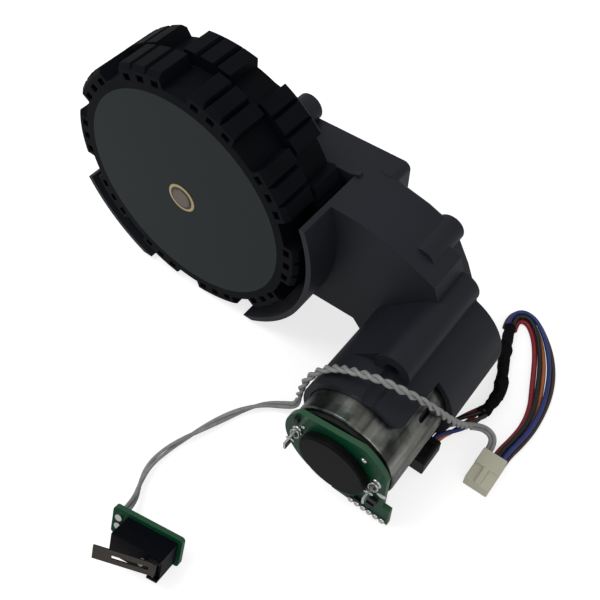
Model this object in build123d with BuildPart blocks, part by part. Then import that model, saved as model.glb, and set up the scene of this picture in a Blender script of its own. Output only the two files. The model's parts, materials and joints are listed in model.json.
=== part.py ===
# Drive wheel module of a robot vacuum: a lugged tyre on a plastic hub, a moulded gearbox with
# a wheel arch and a motor barrel, a brushed motor with an encoder board, a taped wire loom
# and a lever microswitch on its own twisted pair.
# The origin is the centre of the wheel. +X runs from the wheel to the motor, +Y from the hub's
# face into the gearbox, +Z is up. Millimetres.
from build123d import *
from math import acos, atan2, cos, degrees, hypot, pi, radians, sin, tan
import os

os.makedirs("parts", exist_ok=True)

# Wheel and tyre
TYRE_RADIUS = 32.5
TREAD_DEPTH = 3.1
RIDGE_DEPTH = 1.2
TYRE_WALL = 2.2
WHEEL_WIDTH = 18.4
TREAD_GROOVE_WIDTH = 0.9
LUG_COUNT = 10
RIDGES_PER_LUG = 3
RIDGE_PITCH_DEG = 8.0
RIDGE_TOP_DEG = 5.7
LUG_FLANK_DEG = 1.1
OUTER_LUG_DEG = 67.0
INNER_LUG_DEG = 85.0
LUG_CHAMFER = 1.0
CORE_HOLE_INSET = 2.7
CORE_HOLE_TANGENT = 1.9
CORE_HOLE_RADIAL = 1.5
CORE_HOLE_DEPTH = 4.0
HUB_DISC = 1.6
HUB_RIM_WALL = 2.0
HUB_BOSS_RADIUS = 7.0
HUB_BOSS_LENGTH = 12.0
HUB_RIB_COUNT = 8
HUB_RIB = 1.4
HUB_RIB_DEPTH = 9.0

# Output shaft and its seats
SHAFT_RADIUS = 2.5
SHAFT_PROUD = 0.45
SLEEVE_RADIUS = 3.75
SLEEVE_PROUD = 0.15
BEARING_RADIUS = 6.5
BEARING_WIDTH = 4.0
BEARING_WALL = 1.8
REAR_BUSH_RADIUS = 4.5
REAR_BUSH_LENGTH = 2.6
PRESS_GAP = 0.02
RUNNING_GAP = 0.04

# Housing, depths measured inward from the hub's face
WALL = 1.3
WHEEL_GAP = 0.9
ARCH_GAP = 2.5
ARCH_WALL = 1.3
ARCH_START_DEG = 19.5
ARCH_END_DEG = -159.0
ARCH_TRIM_Z = -31.3
ARM_FRONT = 9.0
SEAM = 21.8
BLOCK_TOP_Z = 11.3
BLOCK_END_X = 40.6
BLOCK_ROUND = 1.8
ARM_BOTTOM_Z = -20.5
COVER_BOTTOM_Z = -23.4
BULGE_WALL = 1.5
ARM_COVER_WALL = 1.1
COVER_EDGE = 1.2
SIDE_FRONT = 17.6
SIDE_LEFT_X = 57.0

# Motor and barrel
MOTOR_X = 60.4
MOTOR_Z = -18.6
CAN_RADIUS = 12.2
CAN_FRONT = -21.0
CAN_BACK = 9.5
CAN_WALL = 0.9
CAN_LIP = 0.5
MOTOR_PLATE = 1.6
NOSE_RADIUS = 3.0
NOSE_LENGTH = 1.5
MOTOR_SHAFT_RADIUS = 1.0
BARREL_GAP = 0.25
BARREL_WALL = 1.45
BARREL_FRONT = -15.8
BARREL_WINDOW = -1.5
WINDOW_TOP_DEG = 49.0
WINDOW_BOTTOM_DEG = -62.0
WINDOW_ROUND = 2.0
VENT_DEG = 34.0
VENT_DEPTH = -7.5
VENT_LENGTH = 4.0
VENT_WIDTH = 1.6
BARREL_BACK = 19.3
MAGNET_WALL = 2.0
ARMATURE_GAP = 0.45
ARMATURE_LENGTH = 15.0
ARMATURE_FRONT = -12.5
COMMUTATOR_RADIUS = 2.9

# Long boss over the barrel, with its pivot hole
PIVOT_X = 61.9
PIVOT_Z = -3.6
PIVOT_RADIUS = 4.1
PIVOT_HOLE_RADIUS = 1.8
PIVOT_FRONT = -7.7
PIVOT_HOLE_DEPTH = 14.0
PIN_TROUGH = 2.0
WEB_FRONT = -7.0

# Screw bosses of the housing: X, Z, the depth where each begins and its rise over the cover
BOSS_RADIUS = 3.3
BOSSES = [
    (13.7, 13.4, 19.3, 4.8),
    (54.2, 4.6, 13.1, 0.0),
    (14.0, -19.8, 20.2, 0.0),
    (-17.3, -6.3, 20.2, 0.0),
    (69.3, -27.9, 7.5, 0.0),
]
SCREW_RADIUS = 1.25
SCREW_HEAD_RADIUS = 2.2
SCREW_HEAD = 0.7
SCREW_BITE = 2.6
SCREW_END_GAP = 0.5

# Gear train: teeth and modules, one pressure angle
PRESSURE_DEG = 25.0
FLANK_EASE = 0.07
ROOT_FACTOR = 1.25
TIP_FACTOR = 0.95
PINION_TEETH = 11
FIRST_WHEEL_TEETH = 47
FIRST_MODULE = 0.5
FIRST_SMALL_TEETH = 13
SECOND_WHEEL_TEETH = 42
SECOND_MODULE = 0.6
SECOND_SMALL_TEETH = 11
IDLER_TEETH = 22
OUTPUT_TEETH = 32
LAST_MODULE = 0.8
LAYER_GAP = 0.4
FRONT_FACE = 3.4
MIDDLE_FACE = 2.4
REAR_FACE = 4.2
FIRST_GEAR_DEG = 140.0
IDLER_DEG = -2.0
PIN_RADIUS = 1.25
GEAR_CLEARANCE = 0.6
GEAR_HUB_WALL = 1.6
PIN_SEAT = 2.0

# Encoder board and disc on the motor's end
END_CAP_BULGE = 0.7
BOARD_GAP = 0.4
BOARD_THICKNESS = 1.2
BOARD_RADIUS = 12.9
BOARD_CHORD_DEG = 99.0
BOARD_CHORD_DISTANCE = 10.4
BOARD_TAB_RIGHT = 13.6
BOARD_TAB_LEFT = -0.5
BOARD_TAB_BOTTOM = -13.4
DISC_RADIUS = 8.1
DISC_THICKNESS = 1.7
DISC_GAP = 0.4
BOARD_SHAFT_HOLE = 3.0
TERMINAL_OFFSET = 9.6
TERMINAL_Z = 1.6
TERMINAL_LENGTH = 6.2
SOLDER_COUNT = 6
SOLDER_PITCH = 1.55
SOLDER_RADIUS = 0.6

# Plug under the motor
HEADER_LEFT_X = 67.3
HEADER_WIDTH = 1.5
HEADER_BOTTOM_Z = -32.2
HEADER_HEIGHT = 2.1
HEADER_LENGTH = 13.1
PLUG_LEFT_X = 68.9
PLUG_WIDTH = 4.8
PLUG_BOTTOM_Z = -32.3
PLUG_HEIGHT = 4.3
PLUG_LENGTH = 7.0
PLUG_FOOT = 3.0

# Lever microswitch on its own board, which leans back on its lower edge
SWITCH_X = 39.2
SWITCH_Y = -69.05
SWITCH_TURN_DEG = 10.0
SWITCH_LEAN_DEG = 27.0
SWITCH_LENGTH = 12.0
SWITCH_DEPTH = 5.6
SWITCH_HEIGHT = 5.2
SWITCH_LIFT = 0.9
SWITCH_BOARD = 1.2
SWITCH_BOARD_LENGTH = 16.5
SWITCH_BOARD_WIDTH = 7.0
SWITCH_BOARD_SHIFT = -1.35
LEVER_LENGTH = 12.6
LEVER_WIDTH = 3.4
LEVER_THICKNESS = 0.4
LEVER_OPEN_DEG = 14.0
LEVER_HINGE_U = 4.8
LEVER_HINGE_V = 1.0
LEVER_HINGE_OFFSET = 0.6
LEVER_PIN_RADIUS = 0.25
KNUCKLE_RADIUS = 0.45
LEVER_SLOT_START = 1.1
LEVER_SLOT_LENGTH = 7.6
LEVER_SLOT_WIDTH = 0.9
PLUNGER_U = 1.8
PLUNGER_RADIUS = 0.6
PLUNGER_PROUD = 0.95
PLUNGER_DEPTH = 1.6
PAD_U = -8.0
PAD_RADIUS = 0.8

# White loom connector lying on the floor
CONNECTOR_LEFT_X = 81.6
CONNECTOR_WIDTH = 5.7
CONNECTOR_HEIGHT = 3.9
CONNECTOR_FRONT = -5.2
CONNECTOR_LENGTH = 8.3

# Wires
LOOM_DIAMETER = 3.6
WIRE_DIAMETER = 1.1
RED_WIRE_DIAMETER = 1.3
PAIR_DIAMETER = 2.0
ARC_SHARE = 0.45

# Sizes that follow from the ones above
HUB_FACE_Y = -WHEEL_WIDTH / 2
FLOOR_Z = -TYRE_RADIUS
TREAD_FLOOR_RADIUS = TYRE_RADIUS - TREAD_DEPTH
RIDGE_GROOVE_RADIUS = TYRE_RADIUS - RIDGE_DEPTH
HUB_RADIUS = TREAD_FLOOR_RADIUS - TYRE_WALL
CORE_HOLE_RADIUS = TYRE_RADIUS - CORE_HOLE_INSET
PLATE_FRONT = WHEEL_WIDTH + WHEEL_GAP
PLATE_BACK = PLATE_FRONT + WALL
ARCH_INNER = TYRE_RADIUS + ARCH_GAP
ARCH_OUTER = ARCH_INNER + ARCH_WALL
PLATE_AT_MOTOR = CAN_BACK + MOTOR_PLATE
FRONT_LAYER = PLATE_AT_MOTOR + LAYER_GAP
FRONT_LAYER_END = FRONT_LAYER + FRONT_FACE
MIDDLE_LAYER = PLATE_BACK + LAYER_GAP
MIDDLE_LAYER_END = MIDDLE_LAYER + MIDDLE_FACE
REAR_LAYER = MIDDLE_LAYER_END + LAYER_GAP
REAR_LAYER_END = REAR_LAYER + REAR_FACE
COVER_INNER = REAR_LAYER_END + LAYER_GAP
COVER_BACK = COVER_INNER + WALL
ARM_COVER_INNER = MIDDLE_LAYER_END + LAYER_GAP
ARM_COVER_BACK = ARM_COVER_INNER + ARM_COVER_WALL
BARREL_INNER = CAN_RADIUS + BARREL_GAP
BARREL_OUTER = BARREL_INNER + BARREL_WALL
SHAFT_END = COVER_INNER + REAR_BUSH_LENGTH
BEARING_FRONT = PLATE_FRONT - BEARING_WIDTH


def at(depth):
    """Plane across the axle, that far in from the hub's face, with X to the right and Z up."""
    return Plane.XZ.offset(-(HUB_FACE_Y + depth))


def polar(radius, angle):
    """A point at a radius and an angle in degrees."""
    return (radius * cos(radians(angle)), radius * sin(radians(angle)))


def finish(part, name):
    """Label a finished piece and write its file."""
    part.part.label = name
    export_step(part.part, "parts/" + name + ".step")


def pitch_radius(teeth, module):
    return teeth * module / 2


def tip_radius(teeth, module):
    return module * (teeth / 2 + TIP_FACTOR)


def direction(a, b):
    """Angle in degrees of the line from a to b."""
    return degrees(atan2(b[1] - a[1], b[0] - a[0]))


def tooth_outline(teeth, module, centre, tooth_deg):
    """Closed outline of a spur gear: each involute flank has its root, pitch and tip point."""
    pitch = pitch_radius(teeth, module)
    base = pitch * cos(radians(PRESSURE_DEG))
    half_tooth = pi / (2 * teeth) - FLANK_EASE / pitch
    pitch_involute = tan(radians(PRESSURE_DEG)) - radians(PRESSURE_DEG)
    flank = []
    for radius in (pitch - ROOT_FACTOR * module, pitch, tip_radius(teeth, module)):
        press = acos(base / max(radius, base))
        flank.append((radius, half_tooth + pitch_involute - (tan(press) - press)))
    points = []
    for tooth in range(teeth):
        middle = radians(tooth_deg) + 2 * pi * tooth / teeth
        for radius, half in flank:
            points.append((centre[0] + radius * cos(middle - half), centre[1] + radius * sin(middle - half)))
        for radius, half in reversed(flank):
            points.append((centre[0] + radius * cos(middle + half), centre[1] + radius * sin(middle + half)))
    return points


def gap_facing(teeth, angle):
    """Tooth angle that puts a gap of the gear at the given angle."""
    return angle + 180 / teeth


def lug_outline(first_lug_deg):
    """Closed outline of one row of lugs, each lug a group of ridges with grooves between."""
    half_lug = RIDGE_PITCH_DEG * (RIDGES_PER_LUG - 1) / 2 + RIDGE_TOP_DEG / 2 + LUG_FLANK_DEG
    points = []
    for lug in range(LUG_COUNT):
        middle = first_lug_deg + 360 * lug / LUG_COUNT
        points.append(polar(TREAD_FLOOR_RADIUS, middle - half_lug))
        for ridge in range(RIDGES_PER_LUG):
            ridge_middle = middle + RIDGE_PITCH_DEG * (ridge - (RIDGES_PER_LUG - 1) / 2)
            if ridge > 0:
                points.append(polar(RIDGE_GROOVE_RADIUS, ridge_middle - RIDGE_PITCH_DEG / 2))
            points.append(polar(TYRE_RADIUS, ridge_middle - RIDGE_TOP_DEG / 2))
            points.append(polar(TYRE_RADIUS, ridge_middle + RIDGE_TOP_DEG / 2))
        points.append(polar(TREAD_FLOOR_RADIUS, middle + half_lug))
    return points


# Centres of the gears, as X and Z
output_centre = (0.0, 0.0)
motor_centre = (MOTOR_X, MOTOR_Z)
first_distance = pitch_radius(PINION_TEETH, FIRST_MODULE) + pitch_radius(FIRST_WHEEL_TEETH, FIRST_MODULE)
second_distance = (FIRST_SMALL_TEETH + SECOND_WHEEL_TEETH) * SECOND_MODULE / 2
third_distance = pitch_radius(SECOND_SMALL_TEETH, LAST_MODULE) + pitch_radius(IDLER_TEETH, LAST_MODULE)
last_distance = pitch_radius(IDLER_TEETH, LAST_MODULE) + pitch_radius(OUTPUT_TEETH, LAST_MODULE)
first_offset = polar(first_distance, FIRST_GEAR_DEG)
first_centre = (MOTOR_X + first_offset[0], MOTOR_Z + first_offset[1])
idler_centre = polar(last_distance, IDLER_DEG)
span = hypot(first_centre[0] - idler_centre[0], first_centre[1] - idler_centre[1])
span_cosine = (third_distance ** 2 + span ** 2 - second_distance ** 2) / (2 * third_distance * span)
second_angle = direction(idler_centre, first_centre) - degrees(acos(span_cosine))
second_offset = polar(third_distance, second_angle)
second_centre = (idler_centre[0] + second_offset[0], idler_centre[1] + second_offset[1])

# Tyre: a ring with two staggered rows of lugs and a core hole in the end of each ridge
with BuildPart() as tyre:
    with BuildSketch(at(WHEEL_WIDTH)):
        Circle(TREAD_FLOOR_RADIUS)
    extrude(amount=WHEEL_WIDTH)
    lug_width = (WHEEL_WIDTH - TREAD_GROOVE_WIDTH) / 2
    for row_end, first_lug in ((lug_width, OUTER_LUG_DEG), (WHEEL_WIDTH, INNER_LUG_DEG)):
        with BuildSketch(at(row_end)):
            with BuildLine():
                Polyline(*lug_outline(first_lug), close=True)
            make_face()
        extrude(amount=lug_width)
    with BuildSketch(Plane.XY):
        with BuildLine():
            Polyline(
                (0, HUB_FACE_Y),
                (TYRE_RADIUS - LUG_CHAMFER, HUB_FACE_Y),
                (TYRE_RADIUS + LUG_CHAMFER, HUB_FACE_Y + 2 * LUG_CHAMFER),
                (TYRE_RADIUS + LUG_CHAMFER, -HUB_FACE_Y - 2 * LUG_CHAMFER),
                (TYRE_RADIUS - LUG_CHAMFER, -HUB_FACE_Y),
                (0, -HUB_FACE_Y),
                close=True,
            )
        make_face()
    revolve(axis=Axis.Y, mode=Mode.INTERSECT)
    with BuildSketch(at(WHEEL_WIDTH)):
        Circle(HUB_RADIUS + PRESS_GAP)
    extrude(amount=WHEEL_WIDTH, mode=Mode.SUBTRACT)
    with BuildSketch(at(CORE_HOLE_DEPTH)):
        for lug in range(LUG_COUNT):
            for ridge in range(RIDGES_PER_LUG):
                ridge_deg = RIDGE_PITCH_DEG * (ridge - (RIDGES_PER_LUG - 1) / 2)
                with PolarLocations(CORE_HOLE_RADIUS, 1, OUTER_LUG_DEG + 360 * lug / LUG_COUNT + ridge_deg):
                    Rectangle(CORE_HOLE_RADIAL, CORE_HOLE_TANGENT)
    extrude(amount=CORE_HOLE_DEPTH, mode=Mode.SUBTRACT)
finish(tyre, "tyre")

# Wheel hub: a plain disc in front, a rim, a boss and ribs behind
with BuildPart() as wheel_hub:
    with BuildSketch(at(HUB_DISC)):
        Circle(HUB_RADIUS)
    extrude(amount=HUB_DISC)
    with BuildSketch(at(WHEEL_WIDTH)):
        Circle(HUB_RADIUS)
        Circle(HUB_RADIUS - HUB_RIM_WALL, mode=Mode.SUBTRACT)
    extrude(amount=WHEEL_WIDTH)
    with BuildSketch(at(HUB_BOSS_LENGTH)):
        Circle(HUB_BOSS_RADIUS)
    extrude(amount=HUB_BOSS_LENGTH)
    rib_length = HUB_RADIUS - HUB_RIM_WALL / 2 - HUB_BOSS_RADIUS / 2
    with BuildSketch(at(HUB_RIB_DEPTH)):
        with PolarLocations(HUB_BOSS_RADIUS / 2 + rib_length / 2, HUB_RIB_COUNT):
            Rectangle(rib_length, HUB_RIB)
    extrude(amount=HUB_RIB_DEPTH)
    with BuildSketch(at(HUB_BOSS_LENGTH)):
        Circle(SLEEVE_RADIUS + PRESS_GAP)
    extrude(amount=HUB_BOSS_LENGTH, mode=Mode.SUBTRACT)
finish(wheel_hub, "wheel_hub")

# Brass sleeve moulded into the hub, and the shaft it grips
with BuildPart() as shaft_sleeve:
    with BuildSketch(at(HUB_BOSS_LENGTH)):
        Circle(SLEEVE_RADIUS)
        Circle(SHAFT_RADIUS + PRESS_GAP, mode=Mode.SUBTRACT)
    extrude(amount=HUB_BOSS_LENGTH + SLEEVE_PROUD)
    sleeve_rims = shaft_sleeve.faces().sort_by(Axis.Y)[0].edges().filter_by(GeomType.CIRCLE)
    chamfer(sleeve_rims.sort_by(Edge.radius)[-1], 0.1)
finish(shaft_sleeve, "shaft_sleeve")

with BuildPart() as drive_shaft:
    with BuildSketch(at(SHAFT_END)):
        Circle(SHAFT_RADIUS)
    extrude(amount=SHAFT_END + SHAFT_PROUD)
    chamfer(drive_shaft.faces().sort_by(Axis.Y)[0].edges(), 0.25)
finish(drive_shaft, "drive_shaft")


def bush(centre, inner, outer, near, far):
    """A plain ring about an axis along Y."""
    with BuildPart() as ring:
        with BuildSketch(at(far)):
            with Locations(centre):
                Circle(outer)
                Circle(inner, mode=Mode.SUBTRACT)
        extrude(amount=far - near)
    return ring


shaft_bore = SHAFT_RADIUS + RUNNING_GAP
front_bearing = bush(output_centre, shaft_bore, BEARING_RADIUS, BEARING_FRONT, PLATE_FRONT)
finish(front_bearing, "front_bearing")
rear_bush = bush(output_centre, shaft_bore, REAR_BUSH_RADIUS, COVER_INNER, SHAFT_END)
finish(rear_bush, "rear_bush")

# Tooth angles that put every pair in mesh as drawn
first_line = direction(motor_centre, first_centre)
second_line = direction(first_centre, second_centre)
third_line = direction(second_centre, idler_centre)
last_line = direction(idler_centre, output_centre)
idler_tooth_deg = gap_facing(IDLER_TEETH, third_line + 180)
teeth_past = (last_line - idler_tooth_deg) / (360 / IDLER_TEETH)
output_tooth_deg = last_line + 180 + (360 * teeth_past - 180) / OUTPUT_TEETH

with BuildPart() as output_gear:
    with BuildSketch(at(REAR_LAYER_END)):
        with BuildLine():
            Polyline(*tooth_outline(OUTPUT_TEETH, LAST_MODULE, output_centre, output_tooth_deg), close=True)
        make_face()
    extrude(amount=REAR_FACE)
    with BuildSketch(at(REAR_LAYER)):
        Circle(2 * SHAFT_RADIUS)
    extrude(amount=REAR_LAYER - MIDDLE_LAYER)
    with BuildSketch(at(REAR_LAYER_END)):
        Circle(SHAFT_RADIUS + PRESS_GAP)
    extrude(amount=REAR_LAYER_END - MIDDLE_LAYER, mode=Mode.SUBTRACT)
finish(output_gear, "output_gear")

with BuildPart() as idler_gear:
    with BuildSketch(at(REAR_LAYER_END)):
        with BuildLine():
            Polyline(*tooth_outline(IDLER_TEETH, LAST_MODULE, idler_centre, idler_tooth_deg), close=True)
        make_face()
        with Locations(idler_centre):
            Circle(PIN_RADIUS + RUNNING_GAP, mode=Mode.SUBTRACT)
    extrude(amount=REAR_FACE)
finish(idler_gear, "idler_gear")

with BuildPart() as second_gear:
    with BuildSketch(at(REAR_LAYER_END)):
        with BuildLine():
            Polyline(*tooth_outline(SECOND_SMALL_TEETH, LAST_MODULE, second_centre, third_line), close=True)
        make_face()
    extrude(amount=REAR_LAYER_END - MIDDLE_LAYER_END)
    with BuildSketch(at(MIDDLE_LAYER_END)):
        with BuildLine():
            wheel_deg = gap_facing(SECOND_WHEEL_TEETH, second_line + 180)
            Polyline(*tooth_outline(SECOND_WHEEL_TEETH, SECOND_MODULE, second_centre, wheel_deg), close=True)
        make_face()
    extrude(amount=MIDDLE_FACE)
    with BuildSketch(at(REAR_LAYER_END)):
        with Locations(second_centre):
            Circle(PIN_RADIUS + RUNNING_GAP)
    extrude(amount=REAR_LAYER_END - MIDDLE_LAYER, mode=Mode.SUBTRACT)
finish(second_gear, "second_gear")

with BuildPart() as first_gear:
    with BuildSketch(at(FRONT_LAYER_END)):
        with BuildLine():
            wheel_deg = gap_facing(FIRST_WHEEL_TEETH, first_line + 180)
            Polyline(*tooth_outline(FIRST_WHEEL_TEETH, FIRST_MODULE, first_centre, wheel_deg), close=True)
        make_face()
    extrude(amount=FRONT_FACE)
    with BuildSketch(at(MIDDLE_LAYER)):
        with Locations(first_centre):
            Circle(PIN_RADIUS + GEAR_HUB_WALL)
    extrude(amount=MIDDLE_LAYER - FRONT_LAYER_END)
    with BuildSketch(at(MIDDLE_LAYER_END)):
        with BuildLine():
            Polyline(*tooth_outline(FIRST_SMALL_TEETH, SECOND_MODULE, first_centre, second_line), close=True)
        make_face()
    extrude(amount=MIDDLE_FACE)
    with BuildSketch(at(MIDDLE_LAYER_END)):
        with Locations(first_centre):
            Circle(PIN_RADIUS + RUNNING_GAP)
    extrude(amount=MIDDLE_LAYER_END - FRONT_LAYER, mode=Mode.SUBTRACT)
finish(first_gear, "first_gear")

with BuildPart() as motor_pinion:
    with BuildSketch(at(FRONT_LAYER_END)):
        with BuildLine():
            Polyline(*tooth_outline(PINION_TEETH, FIRST_MODULE, motor_centre, first_line), close=True)
        make_face()
        with Locations(motor_centre):
            Circle(MOTOR_SHAFT_RADIUS + PRESS_GAP, mode=Mode.SUBTRACT)
    extrude(amount=FRONT_FACE)
finish(motor_pinion, "motor_pinion")


def gear_pin(centre, near, far):
    """A steel pin along Y."""
    with BuildPart() as pin:
        with BuildSketch(at(far)):
            with Locations(centre):
                Circle(PIN_RADIUS)
        extrude(amount=far - near)
    return pin


first_pin = gear_pin(first_centre, PLATE_AT_MOTOR - PIN_SEAT + WALL / 2, MIDDLE_LAYER_END)
finish(first_pin, "first_gear_pin")
second_pin = gear_pin(second_centre, PLATE_BACK - WALL / 2, REAR_LAYER_END + LAYER_GAP + WALL / 2)
finish(second_pin, "second_gear_pin")
idler_pin = gear_pin(idler_centre, REAR_LAYER, REAR_LAYER_END + LAYER_GAP + WALL / 2)
finish(idler_pin, "idler_gear_pin")


# Outline of the gearbox across the axle, seen from the hub's side
OUTPUT_ROOM = tip_radius(OUTPUT_TEETH, LAST_MODULE) + GEAR_CLEARANCE
GEARBOX_OUTLINE = [
    (0, BLOCK_TOP_Z),
    (36.0, BLOCK_TOP_Z),
    (42.0, 11.0),
    (49.0, 9.3),
    (54.0, 7.3),
    (57.4, 3.8),
    (60.4, -1.4),
    (62.7, -6.6),
    (68.6, -22.2),
    (71.6, -29.2),
    (70.8, -31.5),
    (68.0, -32.2),
    (51.0, -32.2),
    (43.6, COVER_BOTTOM_Z),
    (10.0, COVER_BOTTOM_Z),
    (-10.0, -11.7),
]

# Web that carries the outermost boss of the block down to the block's top
boss_side = (BOSSES[0][0] + BOSS_RADIUS * cos(radians(35)), BOSSES[0][1] + BOSS_RADIUS * sin(radians(35)))
BOSS_WEB = [
    (BOSSES[0][0], BLOCK_TOP_Z - 1.0),
    (BOSSES[0][0], BOSSES[0][1]),
    boss_side,
    (19.2, BLOCK_TOP_Z),
    (19.2, BLOCK_TOP_Z - 1.0),
]

# Front shell: wheel arch, arm, gearbox front and motor barrel in one moulding
with BuildPart() as front_case:
    with BuildSketch(at(SEAM)):
        Circle(OUTPUT_ROOM + BULGE_WALL)
        with BuildLine():
            Polyline(*GEARBOX_OUTLINE, close=True)
        make_face()
        with BuildLine():
            Polyline(*BOSS_WEB, close=True)
        make_face()
        for boss_x, boss_z, boss_start, boss_rise in BOSSES:
            with Locations((boss_x, boss_z)):
                Circle(BOSS_RADIUS)
    extrude(amount=SEAM - PLATE_FRONT)
    # The slanted side at the motor's end stands a little further forward than the plate
    with BuildSketch(at(PLATE_FRONT)):
        with BuildLine():
            Polyline(*GEARBOX_OUTLINE, close=True)
        make_face()
        with Locations((SIDE_LEFT_X / 2, 0)):
            Rectangle(SIDE_LEFT_X, 4 * TYRE_RADIUS, mode=Mode.SUBTRACT)
        with Locations((-TYRE_RADIUS, 0)):
            Rectangle(2 * TYRE_RADIUS, 4 * TYRE_RADIUS, mode=Mode.SUBTRACT)
    extrude(amount=PLATE_FRONT - SIDE_FRONT)
    with BuildSketch(at(PLATE_BACK)):
        with BuildLine():
            arch_centre_angle = (ARCH_START_DEG + ARCH_END_DEG) / 2
            Line((0, 0), polar(ARCH_OUTER, ARCH_START_DEG))
            ThreePointArc(
                polar(ARCH_OUTER, ARCH_START_DEG),
                polar(ARCH_OUTER, arch_centre_angle),
                polar(ARCH_OUTER, ARCH_END_DEG),
            )
            Line(polar(ARCH_OUTER, ARCH_END_DEG), (0, 0))
        make_face()
    extrude(amount=PLATE_BACK)
    with BuildSketch(at(PLATE_FRONT)):
        with BuildLine():
            Polyline(
                (28.0, BLOCK_TOP_Z),
                (36.0, BLOCK_TOP_Z),
                (42.0, 11.0),
                (49.0, 9.3),
                (54.0, 7.3),
                (60.2, 4.3),
                (61.6, 0.2),
                (PIVOT_X, PIVOT_Z),
                (MOTOR_X, MOTOR_Z),
                (MOTOR_X - 10.0, MOTOR_Z - 8.0),
                (45.2, -24.6),
                (42.0, ARM_BOTTOM_Z),
                (28.0, ARM_BOTTOM_Z),
                close=True,
            )
        make_face()
    extrude(amount=PLATE_FRONT - ARM_FRONT)
    with BuildSketch(at(BARREL_BACK)):
        with Locations(motor_centre):
            Circle(BARREL_OUTER)
    extrude(amount=BARREL_BACK - BARREL_FRONT)
    with BuildSketch(at(PLATE_FRONT)):
        with Locations((PIVOT_X, PIVOT_Z)):
            Circle(PIVOT_RADIUS)
    extrude(amount=PLATE_FRONT - PIVOT_FRONT)
    # Web that joins the barrel and the long boss on the wheel's side
    with BuildSketch(at(PLATE_FRONT)):
        with BuildLine():
            Polyline(
                (50.8, -8.55),
                (PIVOT_X - 0.69 * PIVOT_RADIUS, PIVOT_Z + 0.72 * PIVOT_RADIUS),
                (PIVOT_X, PIVOT_Z),
                (MOTOR_X, MOTOR_Z),
                close=True,
            )
        make_face()
    extrude(amount=PLATE_FRONT - WEB_FRONT)
    for boss_x, boss_z, boss_start, boss_rise in BOSSES:
        with BuildSketch(at(PLATE_BACK)):
            with Locations((boss_x, boss_z)):
                Circle(BOSS_RADIUS)
        extrude(amount=PLATE_BACK - boss_start)
    # Wheel well, the gap of the arch over the floor, and the motor's bore with its window
    with BuildSketch(at(PLATE_FRONT)):
        Circle(ARCH_INNER)
    extrude(amount=PLATE_FRONT + WHEEL_GAP, mode=Mode.SUBTRACT)
    with BuildSketch(at(BEARING_FRONT + WHEEL_WIDTH)):
        with Locations((0, ARCH_TRIM_Z - ARCH_OUTER / 2)):
            Rectangle(2 * ARCH_OUTER, ARCH_OUTER)
    extrude(amount=BEARING_FRONT + WHEEL_WIDTH + WHEEL_GAP, mode=Mode.SUBTRACT)
    with BuildSketch(at(PLATE_FRONT)):
        with Locations((ARCH_INNER, BLOCK_TOP_Z + BLOCK_ROUND)):
            Rectangle(BOSS_RADIUS * 2, 2 * BLOCK_ROUND)
    extrude(amount=PLATE_FRONT, mode=Mode.SUBTRACT)
    with BuildSketch(at(CAN_BACK)):
        with Locations(motor_centre):
            Circle(BARREL_INNER)
    extrude(amount=CAN_BACK - BARREL_FRONT, mode=Mode.SUBTRACT)
    with BuildSketch(at(BARREL_WINDOW)):
        with BuildLine():
            window_reach = 2 * BARREL_OUTER
            window_top = polar(window_reach, WINDOW_TOP_DEG)
            window_bottom = polar(window_reach, WINDOW_BOTTOM_DEG)
            Polyline(
                motor_centre,
                (MOTOR_X + window_top[0], MOTOR_Z + window_top[1]),
                (MOTOR_X + window_reach, MOTOR_Z + window_top[1]),
                (MOTOR_X + window_reach, MOTOR_Z + window_bottom[1]),
                (MOTOR_X + window_bottom[0], MOTOR_Z + window_bottom[1]),
                close=True,
            )
        make_face()
        with Locations((PIVOT_X, PIVOT_Z)):
            Circle(PIVOT_RADIUS, mode=Mode.SUBTRACT)
    extrude(amount=BARREL_WINDOW - BARREL_FRONT, mode=Mode.SUBTRACT)
    for window_deg in (WINDOW_TOP_DEG, WINDOW_BOTTOM_DEG):
        corner = polar((BARREL_INNER + BARREL_OUTER) / 2, window_deg)
        corner_point = (MOTOR_X + corner[0], HUB_FACE_Y + BARREL_FRONT, MOTOR_Z + corner[1])
        fillet(front_case.edges().sort_by_distance(corner_point)[0], WINDOW_ROUND)
    # Bearing boss that reaches back into the hub
    with BuildSketch(at(PLATE_FRONT)):
        Circle(BEARING_RADIUS + BEARING_WALL)
    extrude(amount=PLATE_FRONT - BEARING_FRONT)
    with BuildSketch(at(PLATE_FRONT)):
        Circle(BEARING_RADIUS + PRESS_GAP)
    extrude(amount=PLATE_FRONT - BEARING_FRONT, mode=Mode.SUBTRACT)
    with BuildSketch(at(PLATE_BACK)):
        Circle(SHAFT_RADIUS + 1.0)
    extrude(amount=WALL, mode=Mode.SUBTRACT)
    # Room for the gears
    with BuildSketch(at(SEAM)):
        Circle(2 * SHAFT_RADIUS + GEAR_CLEARANCE)
        with Locations(second_centre):
            Circle(tip_radius(SECOND_WHEEL_TEETH, SECOND_MODULE) + GEAR_CLEARANCE)
        with Locations(first_centre):
            Circle(tip_radius(FIRST_SMALL_TEETH, SECOND_MODULE) + GEAR_CLEARANCE)
    extrude(amount=SEAM - PLATE_BACK, mode=Mode.SUBTRACT)
    with BuildSketch(at(SEAM)):
        with Locations(first_centre):
            Circle(tip_radius(FIRST_WHEEL_TEETH, FIRST_MODULE) + GEAR_CLEARANCE)
        with Locations(motor_centre):
            Circle(tip_radius(PINION_TEETH, FIRST_MODULE) + GEAR_CLEARANCE)
    extrude(amount=SEAM - PLATE_AT_MOTOR, mode=Mode.SUBTRACT)
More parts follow.
